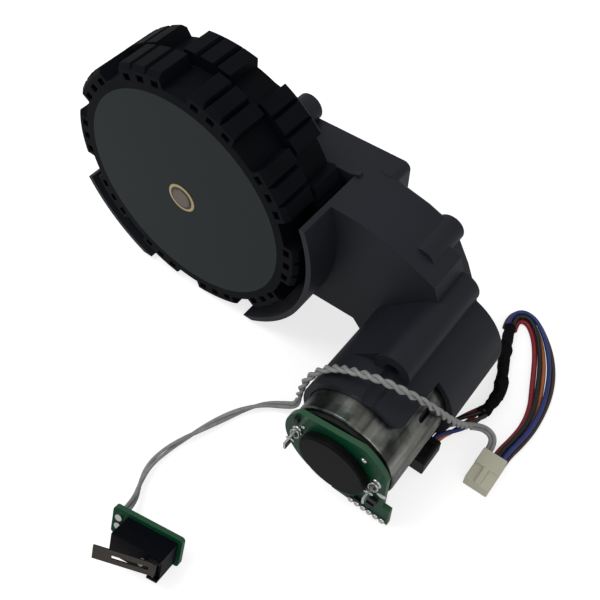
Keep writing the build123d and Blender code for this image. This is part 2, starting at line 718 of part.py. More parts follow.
    # Seats of the pins, the motor's nose and screws, the pivot hole and the screw holes
    with BuildSketch(at(SEAM)):
        with Locations(first_centre, second_centre):
            Circle(PIN_RADIUS + PRESS_GAP)
    extrude(amount=SEAM - PLATE_AT_MOTOR + PIN_SEAT - WALL / 2, mode=Mode.SUBTRACT)
    with BuildSketch(at(PLATE_AT_MOTOR)):
        with Locations(motor_centre):
            Circle(NOSE_RADIUS + BARREL_GAP)
    extrude(amount=MOTOR_PLATE, mode=Mode.SUBTRACT)
    with BuildSketch(at(PIVOT_FRONT + PIVOT_HOLE_DEPTH)):
        with Locations((PIVOT_X, PIVOT_Z)):
            Circle(PIVOT_HOLE_RADIUS)
    extrude(amount=PIVOT_HOLE_DEPTH, mode=Mode.SUBTRACT)
    # Trough that lets the pivot pin pass over the barrel
    with BuildSketch(at(PIVOT_FRONT)):
        with Locations((PIVOT_X, PIVOT_Z)):
            Circle(PIN_TROUGH)
    extrude(amount=PIVOT_FRONT - BARREL_FRONT, mode=Mode.SUBTRACT)
    for boss_x, boss_z, boss_start, boss_rise in BOSSES:
        with BuildSketch(at(SEAM)):
            with Locations((boss_x, boss_z)):
                Circle(SCREW_RADIUS + PRESS_GAP)
        extrude(amount=SCREW_BITE + SCREW_END_GAP, mode=Mode.SUBTRACT)
finish(front_case, "front_case")

# Rear cover: shallow over the arm, a deeper block behind the wheel
with BuildPart() as rear_cover:
    with BuildSketch(at(ARM_COVER_BACK)):
        Circle(OUTPUT_ROOM + BULGE_WALL)
        with BuildLine():
            Polyline(*GEARBOX_OUTLINE, close=True)
        make_face()
    extrude(amount=ARM_COVER_BACK - SEAM)
    chamfer(rear_cover.faces().sort_by(Axis.Y)[-1].edges(), COVER_EDGE)
    with BuildSketch(at(ARM_COVER_BACK)):
        with BuildLine():
            Polyline(*BOSS_WEB, close=True)
        make_face()
    extrude(amount=ARM_COVER_BACK - SEAM)
    for boss_x, boss_z, boss_start, boss_rise in BOSSES:
        with BuildSketch(at(ARM_COVER_BACK + boss_rise)):
            with Locations((boss_x, boss_z)):
                Circle(BOSS_RADIUS)
        extrude(amount=ARM_COVER_BACK + boss_rise - SEAM)
    with BuildSketch(at(COVER_BACK)):
        Circle(OUTPUT_ROOM + BULGE_WALL)
        with BuildLine():
            Polyline(
                (BLOCK_END_X - BLOCK_ROUND, BLOCK_TOP_Z),
                (0, BLOCK_TOP_Z),
                (0, -13.5),
                (BLOCK_END_X, -17.0),
                (BLOCK_END_X, BLOCK_TOP_Z - BLOCK_ROUND),
            )
            ThreePointArc(
                (BLOCK_END_X, BLOCK_TOP_Z - BLOCK_ROUND),
                (BLOCK_END_X - 0.293 * BLOCK_ROUND, BLOCK_TOP_Z - 0.293 * BLOCK_ROUND),
                (BLOCK_END_X - BLOCK_ROUND, BLOCK_TOP_Z),
            )
        make_face()
    extrude(amount=COVER_BACK - ARM_COVER_BACK + COVER_EDGE)
    with BuildSketch(at(SHAFT_END)):
        Circle(REAR_BUSH_RADIUS + BEARING_WALL)
    extrude(amount=SHAFT_END - COVER_BACK)
    with BuildSketch(at(SHAFT_END)):
        Circle(REAR_BUSH_RADIUS + PRESS_GAP)
    extrude(amount=SHAFT_END - COVER_INNER, mode=Mode.SUBTRACT)
    with BuildSketch(at(ARM_COVER_INNER)):
        with Locations(second_centre):
            Circle(tip_radius(SECOND_WHEEL_TEETH, SECOND_MODULE) + GEAR_CLEARANCE)
        with Locations(first_centre):
            Circle(tip_radius(FIRST_WHEEL_TEETH, FIRST_MODULE) - 2 * GEAR_CLEARANCE)
    extrude(amount=ARM_COVER_INNER - SEAM, mode=Mode.SUBTRACT)
    with BuildSketch(at(COVER_INNER)):
        Circle(OUTPUT_ROOM)
        with Locations(idler_centre):
            Circle(tip_radius(IDLER_TEETH, LAST_MODULE) + GEAR_CLEARANCE)
        with Locations(second_centre):
            Circle(tip_radius(SECOND_SMALL_TEETH, LAST_MODULE) + GEAR_CLEARANCE)
    extrude(amount=COVER_INNER - SEAM, mode=Mode.SUBTRACT)
    with BuildSketch(at(REAR_LAYER_END + LAYER_GAP + WALL / 2)):
        with Locations(idler_centre, second_centre):
            Circle(PIN_RADIUS + PRESS_GAP)
    extrude(amount=WALL / 2, mode=Mode.SUBTRACT)
    for boss_x, boss_z, boss_start, boss_rise in BOSSES:
        with BuildSketch(at(ARM_COVER_BACK + boss_rise)):
            with Locations((boss_x, boss_z)):
                Circle(SCREW_RADIUS + 4 * PRESS_GAP)
        extrude(amount=ARM_COVER_BACK + boss_rise - SEAM, mode=Mode.SUBTRACT)
finish(rear_cover, "rear_cover")

# Screws of the cover, driven from behind
with BuildPart() as case_screws:
    for boss_x, boss_z, boss_start, boss_rise in BOSSES:
        with BuildSketch(at(ARM_COVER_BACK + boss_rise)):
            with Locations((boss_x, boss_z)):
                Circle(SCREW_RADIUS)
        extrude(amount=ARM_COVER_BACK + boss_rise - SEAM + SCREW_BITE)
        with BuildSketch(at(ARM_COVER_BACK + boss_rise + SCREW_HEAD)):
            with Locations((boss_x, boss_z)):
                Circle(SCREW_HEAD_RADIUS)
        extrude(amount=SCREW_HEAD)
finish(case_screws, "case_screws")

# Motor: can, end cap, magnets, wound armature, commutator and shaft
with BuildPart() as motor_can:
    with BuildSketch(at(CAN_BACK)):
        with Locations(motor_centre):
            Circle(CAN_RADIUS)
    extrude(amount=CAN_BACK - CAN_FRONT)
    with BuildSketch(at(CAN_BACK + NOSE_LENGTH)):
        with Locations(motor_centre):
            Circle(NOSE_RADIUS)
    extrude(amount=NOSE_LENGTH)
    with BuildSketch(at(CAN_BACK - CAN_WALL)):
        with Locations(motor_centre):
            Circle(CAN_RADIUS - CAN_WALL)
    extrude(amount=CAN_BACK - CAN_WALL - CAN_FRONT, mode=Mode.SUBTRACT)
    with BuildSketch(at(CAN_BACK + NOSE_LENGTH)):
        with Locations(motor_centre):
            Circle(2 * MOTOR_SHAFT_RADIUS)
    extrude(amount=NOSE_LENGTH + CAN_WALL, mode=Mode.SUBTRACT)
    front_rims = motor_can.faces().sort_by(Axis.Y)[0].edges().filter_by(GeomType.CIRCLE)
    fillet(front_rims.sort_by(Edge.radius)[-1], CAN_LIP)
    vent_centre = polar(CAN_RADIUS + CAN_WALL / 2, VENT_DEG)
    vent_plane = Plane(
        origin=(MOTOR_X + vent_centre[0], HUB_FACE_Y + VENT_DEPTH, MOTOR_Z + vent_centre[1]),
        x_dir=(0, 1, 0),
        z_dir=(cos(radians(VENT_DEG)), 0, sin(radians(VENT_DEG))),
    )
    with BuildSketch(vent_plane):
        SlotOverall(VENT_LENGTH, VENT_WIDTH)
    extrude(amount=-2 * CAN_WALL, mode=Mode.SUBTRACT)
finish(motor_can, "motor_can")

END_CAP_DEPTH = 2.6
with BuildPart() as motor_end_cap:
    with BuildSketch(at(CAN_FRONT + END_CAP_DEPTH)):
        with Locations(motor_centre):
            Circle(CAN_RADIUS - CAN_WALL - PRESS_GAP)
    extrude(amount=END_CAP_DEPTH + END_CAP_BULGE)
    with BuildSketch(at(CAN_FRONT + END_CAP_DEPTH)):
        with Locations(motor_centre):
            Circle(2 * MOTOR_SHAFT_RADIUS)
    extrude(amount=END_CAP_DEPTH + END_CAP_BULGE, mode=Mode.SUBTRACT)
    cap_rims = motor_end_cap.faces().sort_by(Axis.Y)[0].edges().filter_by(GeomType.CIRCLE)
    chamfer(cap_rims.sort_by(Edge.radius)[-1], END_CAP_BULGE / 2)
finish(motor_end_cap, "motor_end_cap")

rear_motor_bush = bush(
    motor_centre, MOTOR_SHAFT_RADIUS + RUNNING_GAP, 2 * MOTOR_SHAFT_RADIUS - PRESS_GAP,
    CAN_BACK - CAN_WALL, CAN_BACK + NOSE_LENGTH,
)
finish(rear_motor_bush, "motor_nose_bush")
front_motor_bush = bush(
    motor_centre, MOTOR_SHAFT_RADIUS + RUNNING_GAP, 2 * MOTOR_SHAFT_RADIUS - PRESS_GAP,
    CAN_FRONT - END_CAP_BULGE, CAN_FRONT + END_CAP_DEPTH,
)
finish(front_motor_bush, "motor_cap_bush")

MAGNET_OUTER = CAN_RADIUS - CAN_WALL - PRESS_GAP
MAGNET_INNER = MAGNET_OUTER - MAGNET_WALL
MAGNET_SLOT = 5.0
with BuildPart() as motor_magnets:
    with BuildSketch(at(ARMATURE_FRONT + ARMATURE_LENGTH)):
        with Locations(motor_centre):
            Circle(MAGNET_OUTER)
            Circle(MAGNET_INNER, mode=Mode.SUBTRACT)
            Rectangle(MAGNET_SLOT, 3 * MAGNET_OUTER, mode=Mode.SUBTRACT)
    extrude(amount=ARMATURE_LENGTH)
finish(motor_magnets, "motor_magnets")

ARMATURE_RADIUS = MAGNET_INNER - ARMATURE_GAP
POLE_SLOT = 1.6
with BuildPart() as armature:
    with BuildSketch(at(ARMATURE_FRONT + ARMATURE_LENGTH)):
        with Locations(motor_centre):
            Circle(ARMATURE_RADIUS)
            with PolarLocations(ARMATURE_RADIUS, 3, 30):
                Rectangle(ARMATURE_RADIUS, POLE_SLOT, mode=Mode.SUBTRACT)
            Circle(MOTOR_SHAFT_RADIUS + PRESS_GAP, mode=Mode.SUBTRACT)
    extrude(amount=ARMATURE_LENGTH)
finish(armature, "armature")

commutator = bush(
    motor_centre, MOTOR_SHAFT_RADIUS + PRESS_GAP, COMMUTATOR_RADIUS,
    CAN_FRONT + END_CAP_DEPTH + LAYER_GAP, ARMATURE_FRONT - PRESS_GAP,
)
finish(commutator, "commutator")

BOARD_BACK = CAN_FRONT - END_CAP_BULGE - BOARD_GAP
BOARD_FACE = BOARD_BACK - BOARD_THICKNESS
DISC_BACK = BOARD_FACE - DISC_GAP
DISC_FACE = DISC_BACK - DISC_THICKNESS
SHAFT_SEAT = 0.6
with BuildPart() as motor_shaft:
    with BuildSketch(at(FRONT_LAYER_END)):
        with Locations(motor_centre):
            Circle(MOTOR_SHAFT_RADIUS)
    extrude(amount=FRONT_LAYER_END - DISC_FACE - SHAFT_SEAT)
finish(motor_shaft, "motor_shaft")

# Encoder disc on the shaft's end, with a rounded edge
with BuildPart() as encoder_disc:
    with BuildSketch(at(DISC_BACK)):
        with Locations(motor_centre):
            Circle(DISC_RADIUS)
    extrude(amount=DISC_THICKNESS)
    with BuildSketch(at(DISC_BACK)):
        with Locations(motor_centre):
            Circle(MOTOR_SHAFT_RADIUS + PRESS_GAP)
    extrude(amount=DISC_THICKNESS - SHAFT_SEAT, mode=Mode.SUBTRACT)
    fillet(encoder_disc.faces().sort_by(Axis.Y)[0].edges(), DISC_THICKNESS / 3)
finish(encoder_disc, "encoder_disc")

# Encoder board: a round board with one flat side and a tab for the header
TERMINAL_THICKNESS = 0.5
TERMINAL_WIDTH = 2.2
terminal_places = [
    (MOTOR_X - TERMINAL_OFFSET, MOTOR_Z + TERMINAL_Z),
    (MOTOR_X + TERMINAL_OFFSET, MOTOR_Z + TERMINAL_Z),
]
with BuildPart() as encoder_board:
    with BuildSketch(at(BOARD_BACK)):
        with Locations(motor_centre):
            Circle(BOARD_RADIUS)
        chord_middle = polar(BOARD_CHORD_DISTANCE + BOARD_RADIUS, BOARD_CHORD_DEG)
        with Locations(Location((MOTOR_X + chord_middle[0], MOTOR_Z + chord_middle[1]), BOARD_CHORD_DEG)):
            Rectangle(2 * BOARD_RADIUS, 4 * BOARD_RADIUS, mode=Mode.SUBTRACT)
        tab_width = BOARD_TAB_RIGHT - BOARD_TAB_LEFT
        with Locations((MOTOR_X + (BOARD_TAB_LEFT + BOARD_TAB_RIGHT) / 2, MOTOR_Z + BOARD_TAB_BOTTOM / 2)):
            Rectangle(tab_width, -BOARD_TAB_BOTTOM)
        with Locations((MOTOR_X + BOARD_TAB_RIGHT, MOTOR_Z)):
            Rectangle(2 * (BOARD_TAB_RIGHT - BOARD_RADIUS) + 2, -BOARD_TAB_BOTTOM, mode=Mode.SUBTRACT)
        with Locations(motor_centre):
            Circle(BOARD_SHAFT_HOLE, mode=Mode.SUBTRACT)
        with Locations(*terminal_places):
            Rectangle(TERMINAL_THICKNESS + 2 * PRESS_GAP, TERMINAL_WIDTH + 2 * PRESS_GAP, mode=Mode.SUBTRACT)
    extrude(amount=BOARD_THICKNESS)
finish(encoder_board, "encoder_board")

# Motor terminals, two tabs that stand out of the end cap and through the board
with BuildPart() as motor_terminals:
    with BuildSketch(at(CAN_FRONT - END_CAP_BULGE)):
        with Locations(*terminal_places):
            Rectangle(TERMINAL_THICKNESS, TERMINAL_WIDTH)
    extrude(amount=TERMINAL_LENGTH)
finish(motor_terminals, "motor_terminals")

# Solder joints of the header, in one row on the tab
solder_left = MOTOR_X + BOARD_TAB_RIGHT - 1.2 - SOLDER_PITCH * (SOLDER_COUNT - 1)
solder_z = MOTOR_Z + BOARD_TAB_BOTTOM + 1.3
with BuildPart() as board_solder:
    with BuildSketch(at(BOARD_FACE)):
        for joint in range(SOLDER_COUNT):
            with Locations((solder_left + joint * SOLDER_PITCH, solder_z)):
                Circle(SOLDER_RADIUS)
    extrude(amount=SOLDER_RADIUS)
    chamfer(board_solder.faces().filter_by(Axis.Y).group_by(Axis.Y)[0].edges(), SOLDER_RADIUS / 2)
finish(board_solder, "board_solder")

# Sensor chip and small parts on the board: X and Z from the motor's axis, width and height
BOARD_PARTS = [(9.6, -5.2, 2.2, 1.5), (6.2, -9.9, 1.7, 0.9), (9.2, -7.8, 1.7, 0.9), (-9.6, 6.4, 1.0, 1.6)]
BOARD_PART_HEIGHT = 0.8
with BuildPart() as board_parts:
    with BuildSketch(at(BOARD_FACE)):
        for part_x, part_z, part_width, part_height in BOARD_PARTS:
            with Locations((MOTOR_X + part_x, MOTOR_Z + part_z)):
                Rectangle(part_width, part_height)
    extrude(amount=BOARD_PART_HEIGHT)
finish(board_parts, "board_parts")

# Header behind the board and the plug in its mouth
with BuildPart() as board_header:
    with BuildSketch(at(BOARD_BACK + HEADER_LENGTH)):
        with Locations((HEADER_LEFT_X + HEADER_WIDTH / 2, HEADER_BOTTOM_Z + HEADER_HEIGHT / 2)):
            Rectangle(HEADER_WIDTH, HEADER_HEIGHT)
    extrude(amount=HEADER_LENGTH)
finish(board_header, "board_header")

PLUG_FRONT = BOARD_BACK + HEADER_LENGTH
PLUG_TOP_Z = PLUG_BOTTOM_Z + PLUG_HEIGHT
with BuildPart() as loom_plug:
    with BuildSketch(at(PLUG_FRONT + PLUG_LENGTH)):
        with Locations((PLUG_LEFT_X + PLUG_WIDTH / 2, PLUG_BOTTOM_Z + PLUG_HEIGHT / 2)):
            RectangleRounded(PLUG_WIDTH, PLUG_HEIGHT, 0.5)
    extrude(amount=PLUG_LENGTH)
    with BuildSketch(at(PLUG_FRONT + PLUG_FOOT)):
        with Locations((PLUG_LEFT_X, HEADER_BOTTOM_Z + HEADER_HEIGHT / 2)):
            Rectangle(2 * (PLUG_LEFT_X - HEADER_LEFT_X), HEADER_HEIGHT)
    extrude(amount=PLUG_FOOT)
    with BuildSketch(at(PLUG_FRONT + PLUG_LENGTH - 1.6)):
        with Locations((PLUG_LEFT_X + PLUG_WIDTH / 2, PLUG_TOP_Z)):
            Rectangle(PLUG_WIDTH - 2.0, 1.0)
    extrude(amount=PLUG_LENGTH - 3.2, mode=Mode.SUBTRACT)
finish(loom_plug, "loom_plug")

# White connector at the loom's far end, lying on the floor
with BuildPart() as loom_connector:
    with BuildSketch(at(CONNECTOR_FRONT + CONNECTOR_LENGTH)):
        with Locations((CONNECTOR_LEFT_X + CONNECTOR_WIDTH / 2, FLOOR_Z + CONNECTOR_HEIGHT / 2)):
            Rectangle(CONNECTOR_WIDTH, CONNECTOR_HEIGHT)
    extrude(amount=CONNECTOR_LENGTH)
    with BuildSketch(at(CONNECTOR_FRONT + CONNECTOR_LENGTH / 2)):
        with Locations((CONNECTOR_LEFT_X + CONNECTOR_WIDTH / 2, FLOOR_Z + CONNECTOR_HEIGHT)):
            Rectangle(CONNECTOR_WIDTH, 1.4)
        with Locations((CONNECTOR_LEFT_X + CONNECTOR_WIDTH / 2, FLOOR_Z + CONNECTOR_HEIGHT)):
            Rectangle(1.2, 1.4, mode=Mode.SUBTRACT)
    extrude(amount=CONNECTOR_LENGTH / 2, mode=Mode.SUBTRACT)
finish(loom_connector, "loom_connector")

# Microswitch: U runs along its body, V away from the lever, W up its board. The board stands
# behind the body and leans back until its lower edge rests on the floor
switch_u = Vector(cos(radians(SWITCH_TURN_DEG)), sin(radians(SWITCH_TURN_DEG)), 0)
switch_level = Vector(-sin(radians(SWITCH_TURN_DEG)), cos(radians(SWITCH_TURN_DEG)), 0)
switch_w = switch_level * sin(radians(SWITCH_LEAN_DEG)) + Vector(0, 0, cos(radians(SWITCH_LEAN_DEG)))
board_back_v = SWITCH_DEPTH / 2 + SWITCH_BOARD
switch_z = FLOOR_Z + board_back_v * sin(radians(SWITCH_LEAN_DEG))
switch_plane = Plane(origin=(SWITCH_X, SWITCH_Y, switch_z), x_dir=switch_u, z_dir=switch_w)
board_plane = Plane(
    origin=switch_plane.from_local_coords(Vector(0, board_back_v, 0)),
    x_dir=switch_plane.x_dir,
    z_dir=-switch_plane.y_dir,
)
with BuildPart() as switch_board:
    with BuildSketch(board_plane):
        with Locations((SWITCH_BOARD_SHIFT, SWITCH_BOARD_WIDTH / 2)):
            RectangleRounded(SWITCH_BOARD_LENGTH, SWITCH_BOARD_WIDTH, 0.8)
    extrude(amount=SWITCH_BOARD)
finish(switch_board, "switch_board")

plunger_w = SWITCH_LIFT + SWITCH_HEIGHT / 2
face_plane = Plane(
    origin=switch_plane.from_local_coords(Vector(0, -SWITCH_DEPTH / 2, plunger_w)),
    x_dir=switch_plane.x_dir,
    z_dir=-switch_plane.y_dir,
)
with BuildPart() as switch_body:
    with BuildSketch(switch_plane.offset(SWITCH_LIFT)):
        Rectangle(SWITCH_LENGTH, SWITCH_DEPTH)
        with Locations((LEVER_HINGE_U, -SWITCH_DEPTH / 2)):
            Rectangle(2.4, 2 * LEVER_HINGE_V)
    extrude(amount=SWITCH_HEIGHT)
    with BuildSketch(switch_plane.offset(plunger_w - LEVER_WIDTH / 2 - 0.35)):
        with Locations((LEVER_HINGE_U, -SWITCH_DEPTH / 2 - LEVER_HINGE_V)):
            Rectangle(4.0, 2 * LEVER_HINGE_V)
    extrude(amount=LEVER_WIDTH + 0.7, mode=Mode.SUBTRACT)
    with BuildSketch(face_plane):
        with Locations((PLUNGER_U, 0)):
            Circle(PLUNGER_RADIUS + RUNNING_GAP)
    extrude(amount=-PLUNGER_DEPTH - 0.8, mode=Mode.SUBTRACT)
    with BuildSketch(switch_plane.offset(SWITCH_LIFT)):
        with Locations((LEVER_HINGE_U, -SWITCH_DEPTH / 2 - LEVER_HINGE_OFFSET)):
            Circle(LEVER_PIN_RADIUS + RUNNING_GAP)
    extrude(amount=SWITCH_HEIGHT, mode=Mode.SUBTRACT)
finish(switch_body, "switch_body")

with BuildPart() as switch_plunger:
    with BuildSketch(face_plane.offset(PLUNGER_PROUD)):
        with Locations((PLUNGER_U, 0)):
            Circle(PLUNGER_RADIUS)
    extrude(amount=-PLUNGER_PROUD - PLUNGER_DEPTH)
finish(switch_plunger, "switch_plunger")

# Lever of the microswitch: a slotted steel strip that turns about a pin along the board
hinge_v = -SWITCH_DEPTH / 2 - LEVER_HINGE_OFFSET
open_angle = radians(LEVER_OPEN_DEG)
lever_plane = Plane(
    origin=switch_plane.from_local_coords(Vector(LEVER_HINGE_U, hinge_v, plunger_w - LEVER_WIDTH / 2)),
    x_dir=switch_plane.x_dir * cos(open_angle) + switch_plane.y_dir * sin(open_angle),
    z_dir=switch_plane.z_dir,
)
with BuildPart() as switch_lever:
    with BuildSketch(lever_plane):
        with Locations((-LEVER_LENGTH / 2, 0)):
            Rectangle(LEVER_LENGTH, LEVER_THICKNESS)
        Circle(KNUCKLE_RADIUS)
    extrude(amount=LEVER_WIDTH)
    with BuildSketch(lever_plane.offset((LEVER_WIDTH - LEVER_SLOT_WIDTH) / 2)):
        with Locations((-LEVER_SLOT_START - LEVER_SLOT_LENGTH / 2, 0)):
            Rectangle(LEVER_SLOT_LENGTH, 4 * LEVER_THICKNESS)
    extrude(amount=LEVER_SLOT_WIDTH, mode=Mode.SUBTRACT)
    with BuildSketch(lever_plane.offset(-0.8)):
        Circle(LEVER_PIN_RADIUS)
    extrude(amount=LEVER_WIDTH + 1.6)
finish(switch_lever, "switch_lever")

# Solder joints of the pair on the front of the switch board
pad_plane = board_plane.offset(SWITCH_BOARD)
with BuildPart() as switch_solder:
    with BuildSketch(pad_plane):
        with Locations((PAD_U, 0.7 * SWITCH_BOARD_WIDTH), (PAD_U, 0.38 * SWITCH_BOARD_WIDTH)):
            Circle(PAD_RADIUS)
    extrude(amount=PAD_RADIUS / 2)
finish(switch_solder, "switch_solder")


def floor_point(x, depth, height):
    """A point given by X, its depth from the hub's face and its height over the floor."""
    return (x, HUB_FACE_Y + depth, FLOOR_Z + height)


def corner_radii(points):
    """One bend radius for each inner point, as large as its shorter run allows."""
    radii = []
    for before, here, after in zip(points, points[1:], points[2:]):
        first = Vector(*here) - Vector(*before)
        second = Vector(*after) - Vector(*here)
        turn = radians(first.get_angle(second))
        radii.append(ARC_SHARE * min(first.length, second.length) / tan(turn / 2))
    return radii


def cord(name, points, diameter):
    """A round cord through the points, as straight runs joined by tangent arcs."""
    radii = corner_radii(points)
    with BuildPart() as tube:
        with BuildLine() as route:
            FilletPolyline(*points, radius=radii)
        with BuildSketch(Plane(origin=route.line @ 0, z_dir=route.line % 0)):
            Circle(diameter / 2)
        sweep()
    finish(tube, name)
    length = sum(edge.length for edge in route.line.edges())
    share = tube.part.volume / (pi * diameter ** 2 / 4 * length)
    bends = [round(radius, 1) for radius in radii]
    print(name, "length", round(length, 1), "radii", bends, "share", round(share, 3))


# Taped loom: out of the plug and along the floor behind the motor
LOOM_HEIGHT = LOOM_DIAMETER / 2 + 0.1
PLUG_END = PLUG_FRONT + PLUG_LENGTH
PLUG_MIDDLE_X = PLUG_LEFT_X + PLUG_WIDTH / 2
loom_points = [
    floor_point(PLUG_MIDDLE_X, PLUG_END, LOOM_HEIGHT + 0.4),
    floor_point(PLUG_MIDDLE_X, PLUG_END + 2.6, LOOM_HEIGHT + 0.4),
    floor_point(73.6, 4.8, LOOM_HEIGHT),
    floor_point(76.0, 9.4, LOOM_HEIGHT),
    floor_point(77.6, 14.6, LOOM_HEIGHT),
    floor_point(76.9, 20.0, LOOM_HEIGHT),
    floor_point(74.3, 25.6, LOOM_HEIGHT),
    floor_point(72.0, 31.0, LOOM_HEIGHT),
    floor_point(70.3, 36.6, LOOM_HEIGHT),
]
cord("wire_loom", loom_points, LOOM_DIAMETER)

# Five wires from the loom's end round to the connector, in lanes side by side. Each point has
# the X and depth of the middle lane, the pitch of the lanes and the lift of every second lane
LANE_GAP = 0.08
WIRE_HEIGHT = RED_WIRE_DIAMETER / 2 + 0.05
lane_points = [
    (70.3, 36.6, 0.62, 1.2),
    (69.4, 39.6, 0.62, 1.2),
    (70.8, 42.2, 0.62, 1.2),
    (74.0, 41.9, 0.62, 1.2),
    (77.4, 38.8, 0.75, 1.1),
    (80.4, 34.8, 1.0, 0.8),
    (82.8, 30.3, 1.15, 0.7),
    (84.7, 25.4, 1.1, 0.8),
    (86.2, 20.3, 0.8, 1.1),
    (86.8, 14.8, 0.64, 1.2),
    (86.3, 9.8, 0.62, 1.2),
    (85.5, 5.7, 0.62, 1.2),
    (85.5, 3.1, 0.62, 1.2),
]
wire_names = ["wire_red", "wire_black", "wire_orange", "wire_blue", "wire_brown"]
for lane, name in enumerate(wire_names):
    route_points = []
    for index, (x, depth, pitch, lift) in enumerate(lane_points):
        before = lane_points[max(index - 1, 0)]
        after = lane_points[min(index + 1, len(lane_points) - 1)]
        arriving = Vector(x - before[0], depth - before[1])
        leaving = Vector(after[0] - x, after[1] - depth)
        arriving = arriving.normalized() if index > 0 else leaving.normalized()
        leaving = leaving.normalized() if index < len(lane_points) - 1 else arriving
        across = Vector(-arriving.Y - leaving.Y, arriving.X + leaving.X)
        shift = (lane - 2) * pitch * 2 / across.length ** 2
        height = WIRE_HEIGHT + lift * (lane % 2)
        route_points.append(floor_point(x + across.X * shift, depth + across.Y * shift, height))
    cord(name, route_points, RED_WIRE_DIAMETER if lane == 0 else WIRE_DIAMETER)

# The switch's twisted pair: off the connector, up over the motor barrel and back to the floor
pair_points = [
    floor_point(82.6, 3.1, 2.4),
    floor_point(82.6, 5.3, 2.4),
    floor_point(81.6, 7.0, 3.0),
    floor_point(79.4, 6.8, 4.3),
    floor_point(77.6, 4.6, 6.4),
    floor_point(76.5, 1.6, 9.8),
    floor_point(75.6, -1.6, 14.4),
    floor_point(74.3, -4.6, 19.4),
    floor_point(72.6, -7.2, 24.4),
    floor_point(70.0, -9.4, 28.4),
    floor_point(66.6, -11.4, 31.2),
    floor_point(62.4, -12.8, 32.7),
    floor_point(57.2, -13.3, 31.2),
    floor_point(52.2, -13.0, 27.6),
    floor_point(48.6, -13.4, 23.6),
    floor_point(46.2, -14.6, 19.3),
    floor_point(45.2, -15.4, 14.2),
    floor_point(44.4, -15.0, 9.0),
    floor_point(42.6, -14.0, 4.2),
    floor_point(39.6, -14.2, 1.5),
    floor_point(36.0, -16.4, 1.15),
    floor_point(32.9, -20.5, 1.15),
    floor_point(30.2, -26.3, 1.15),
    floor_point(27.8, -32.7, 1.15),
    floor_point(26.0, -38.5, 1.15),
    floor_point(25.5, -43.6, 1.15),
    floor_point(27.0, -47.9, 1.2),
    floor_point(29.44, -51.89, 2.01),
    floor_point(30.12, -55.75, 4.0),
]
cord("switch_cable", pair_points, PAIR_DIAMETER)
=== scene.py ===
import json
from math import cos, pi, radians, sin

import bpy
from bpy.props import FloatProperty, FloatVectorProperty, PointerProperty
from mathutils import Matrix, Vector


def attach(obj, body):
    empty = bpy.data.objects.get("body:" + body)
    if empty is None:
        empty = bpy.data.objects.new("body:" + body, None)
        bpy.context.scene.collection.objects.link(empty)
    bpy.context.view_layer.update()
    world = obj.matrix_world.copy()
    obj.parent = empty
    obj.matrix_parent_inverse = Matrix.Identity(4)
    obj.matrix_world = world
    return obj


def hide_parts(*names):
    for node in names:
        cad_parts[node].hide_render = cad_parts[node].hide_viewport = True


bl_info = {
    "name": "Drive wheel module",
    "version": (1, 0, 0),
    "blender": (4, 5, 0),
    "location": "3D View > Sidebar > Wheel module",
    "description": "Dresses the drive wheel module of a robot vacuum",
    "category": "Object",
}

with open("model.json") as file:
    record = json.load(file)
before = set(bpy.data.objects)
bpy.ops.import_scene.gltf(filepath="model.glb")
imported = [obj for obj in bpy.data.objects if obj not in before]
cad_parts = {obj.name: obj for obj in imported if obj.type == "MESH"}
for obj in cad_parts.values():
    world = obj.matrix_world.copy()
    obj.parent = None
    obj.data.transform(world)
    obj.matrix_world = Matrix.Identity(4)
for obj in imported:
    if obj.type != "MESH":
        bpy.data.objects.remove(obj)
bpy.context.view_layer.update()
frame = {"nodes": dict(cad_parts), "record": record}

# The planes that the cords' points are measured from, in metres
HUB_FACE = -0.0092
FLOOR = -0.0325
MM_IN_METRE = 1000


# Sizes a user would change
class StageSizes(bpy.types.PropertyGroup):
    """Lamps, sky and floor"""

    floor_colour: FloatVectorProperty(
        name="Floor",
        description="Colour of the floor and backdrop",
        subtype="COLOR",
        size=3,
        default=(1.0, 1.0, 1.0),
    )
    lamp_power: FloatProperty(
        name="Lamp", description="Power of the large lamp", default=1.5, min=0.0, unit="POWER"
    )
    sky_strength: FloatProperty(
        name="Sky", description="Strength of the even light from all round", default=0.5, min=0.0
    )


class HousingSizes(bpy.types.PropertyGroup):
    """Moulded housing"""

    colour: FloatVectorProperty(
        name="Plastic",
        description="Colour of the housing",
        subtype="COLOR",
        size=3,
        default=(0.0145, 0.0165, 0.022),
    )
    edge: FloatProperty(
        name="Edge",
        description="Radius of the moulded edges",
        default=0.0006,
        min=0.0001,
        unit="LENGTH",
    )


class WheelSizes(bpy.types.PropertyGroup):
    """Hub and tyre"""

    rubber: FloatVectorProperty(
        name="Rubber",
        description="Colour of the tyre",
        subtype="COLOR",
        size=3,
        default=(0.0022, 0.0028, 0.0046),
    )
    disc: FloatVectorProperty(
        name="Disc",
        description="Colour of the hub",
        subtype="COLOR",
        size=3,
        default=(0.0215, 0.027, 0.0275),
    )


class CordSizes(bpy.types.PropertyGroup):
    """Loom and twisted pair"""

    tape_lap: FloatProperty(
        name="Tape lap",
        description="Length of loom under each turn of the tape",
        default=0.0062,
        min=0.001,
        unit="LENGTH",
    )
    twist: FloatProperty(
        name="Twist",
        description="Length of one turn of the pair",
        default=0.0056,
        min=0.002,
        unit="LENGTH",
    )


# Finishes
def node_tree(name):
    """A new material with its nodes, and its shader."""
    material = bpy.data.materials.new(name)
    material.use_nodes = True
    return material, material.node_tree, material.node_tree.nodes["Principled BSDF"]


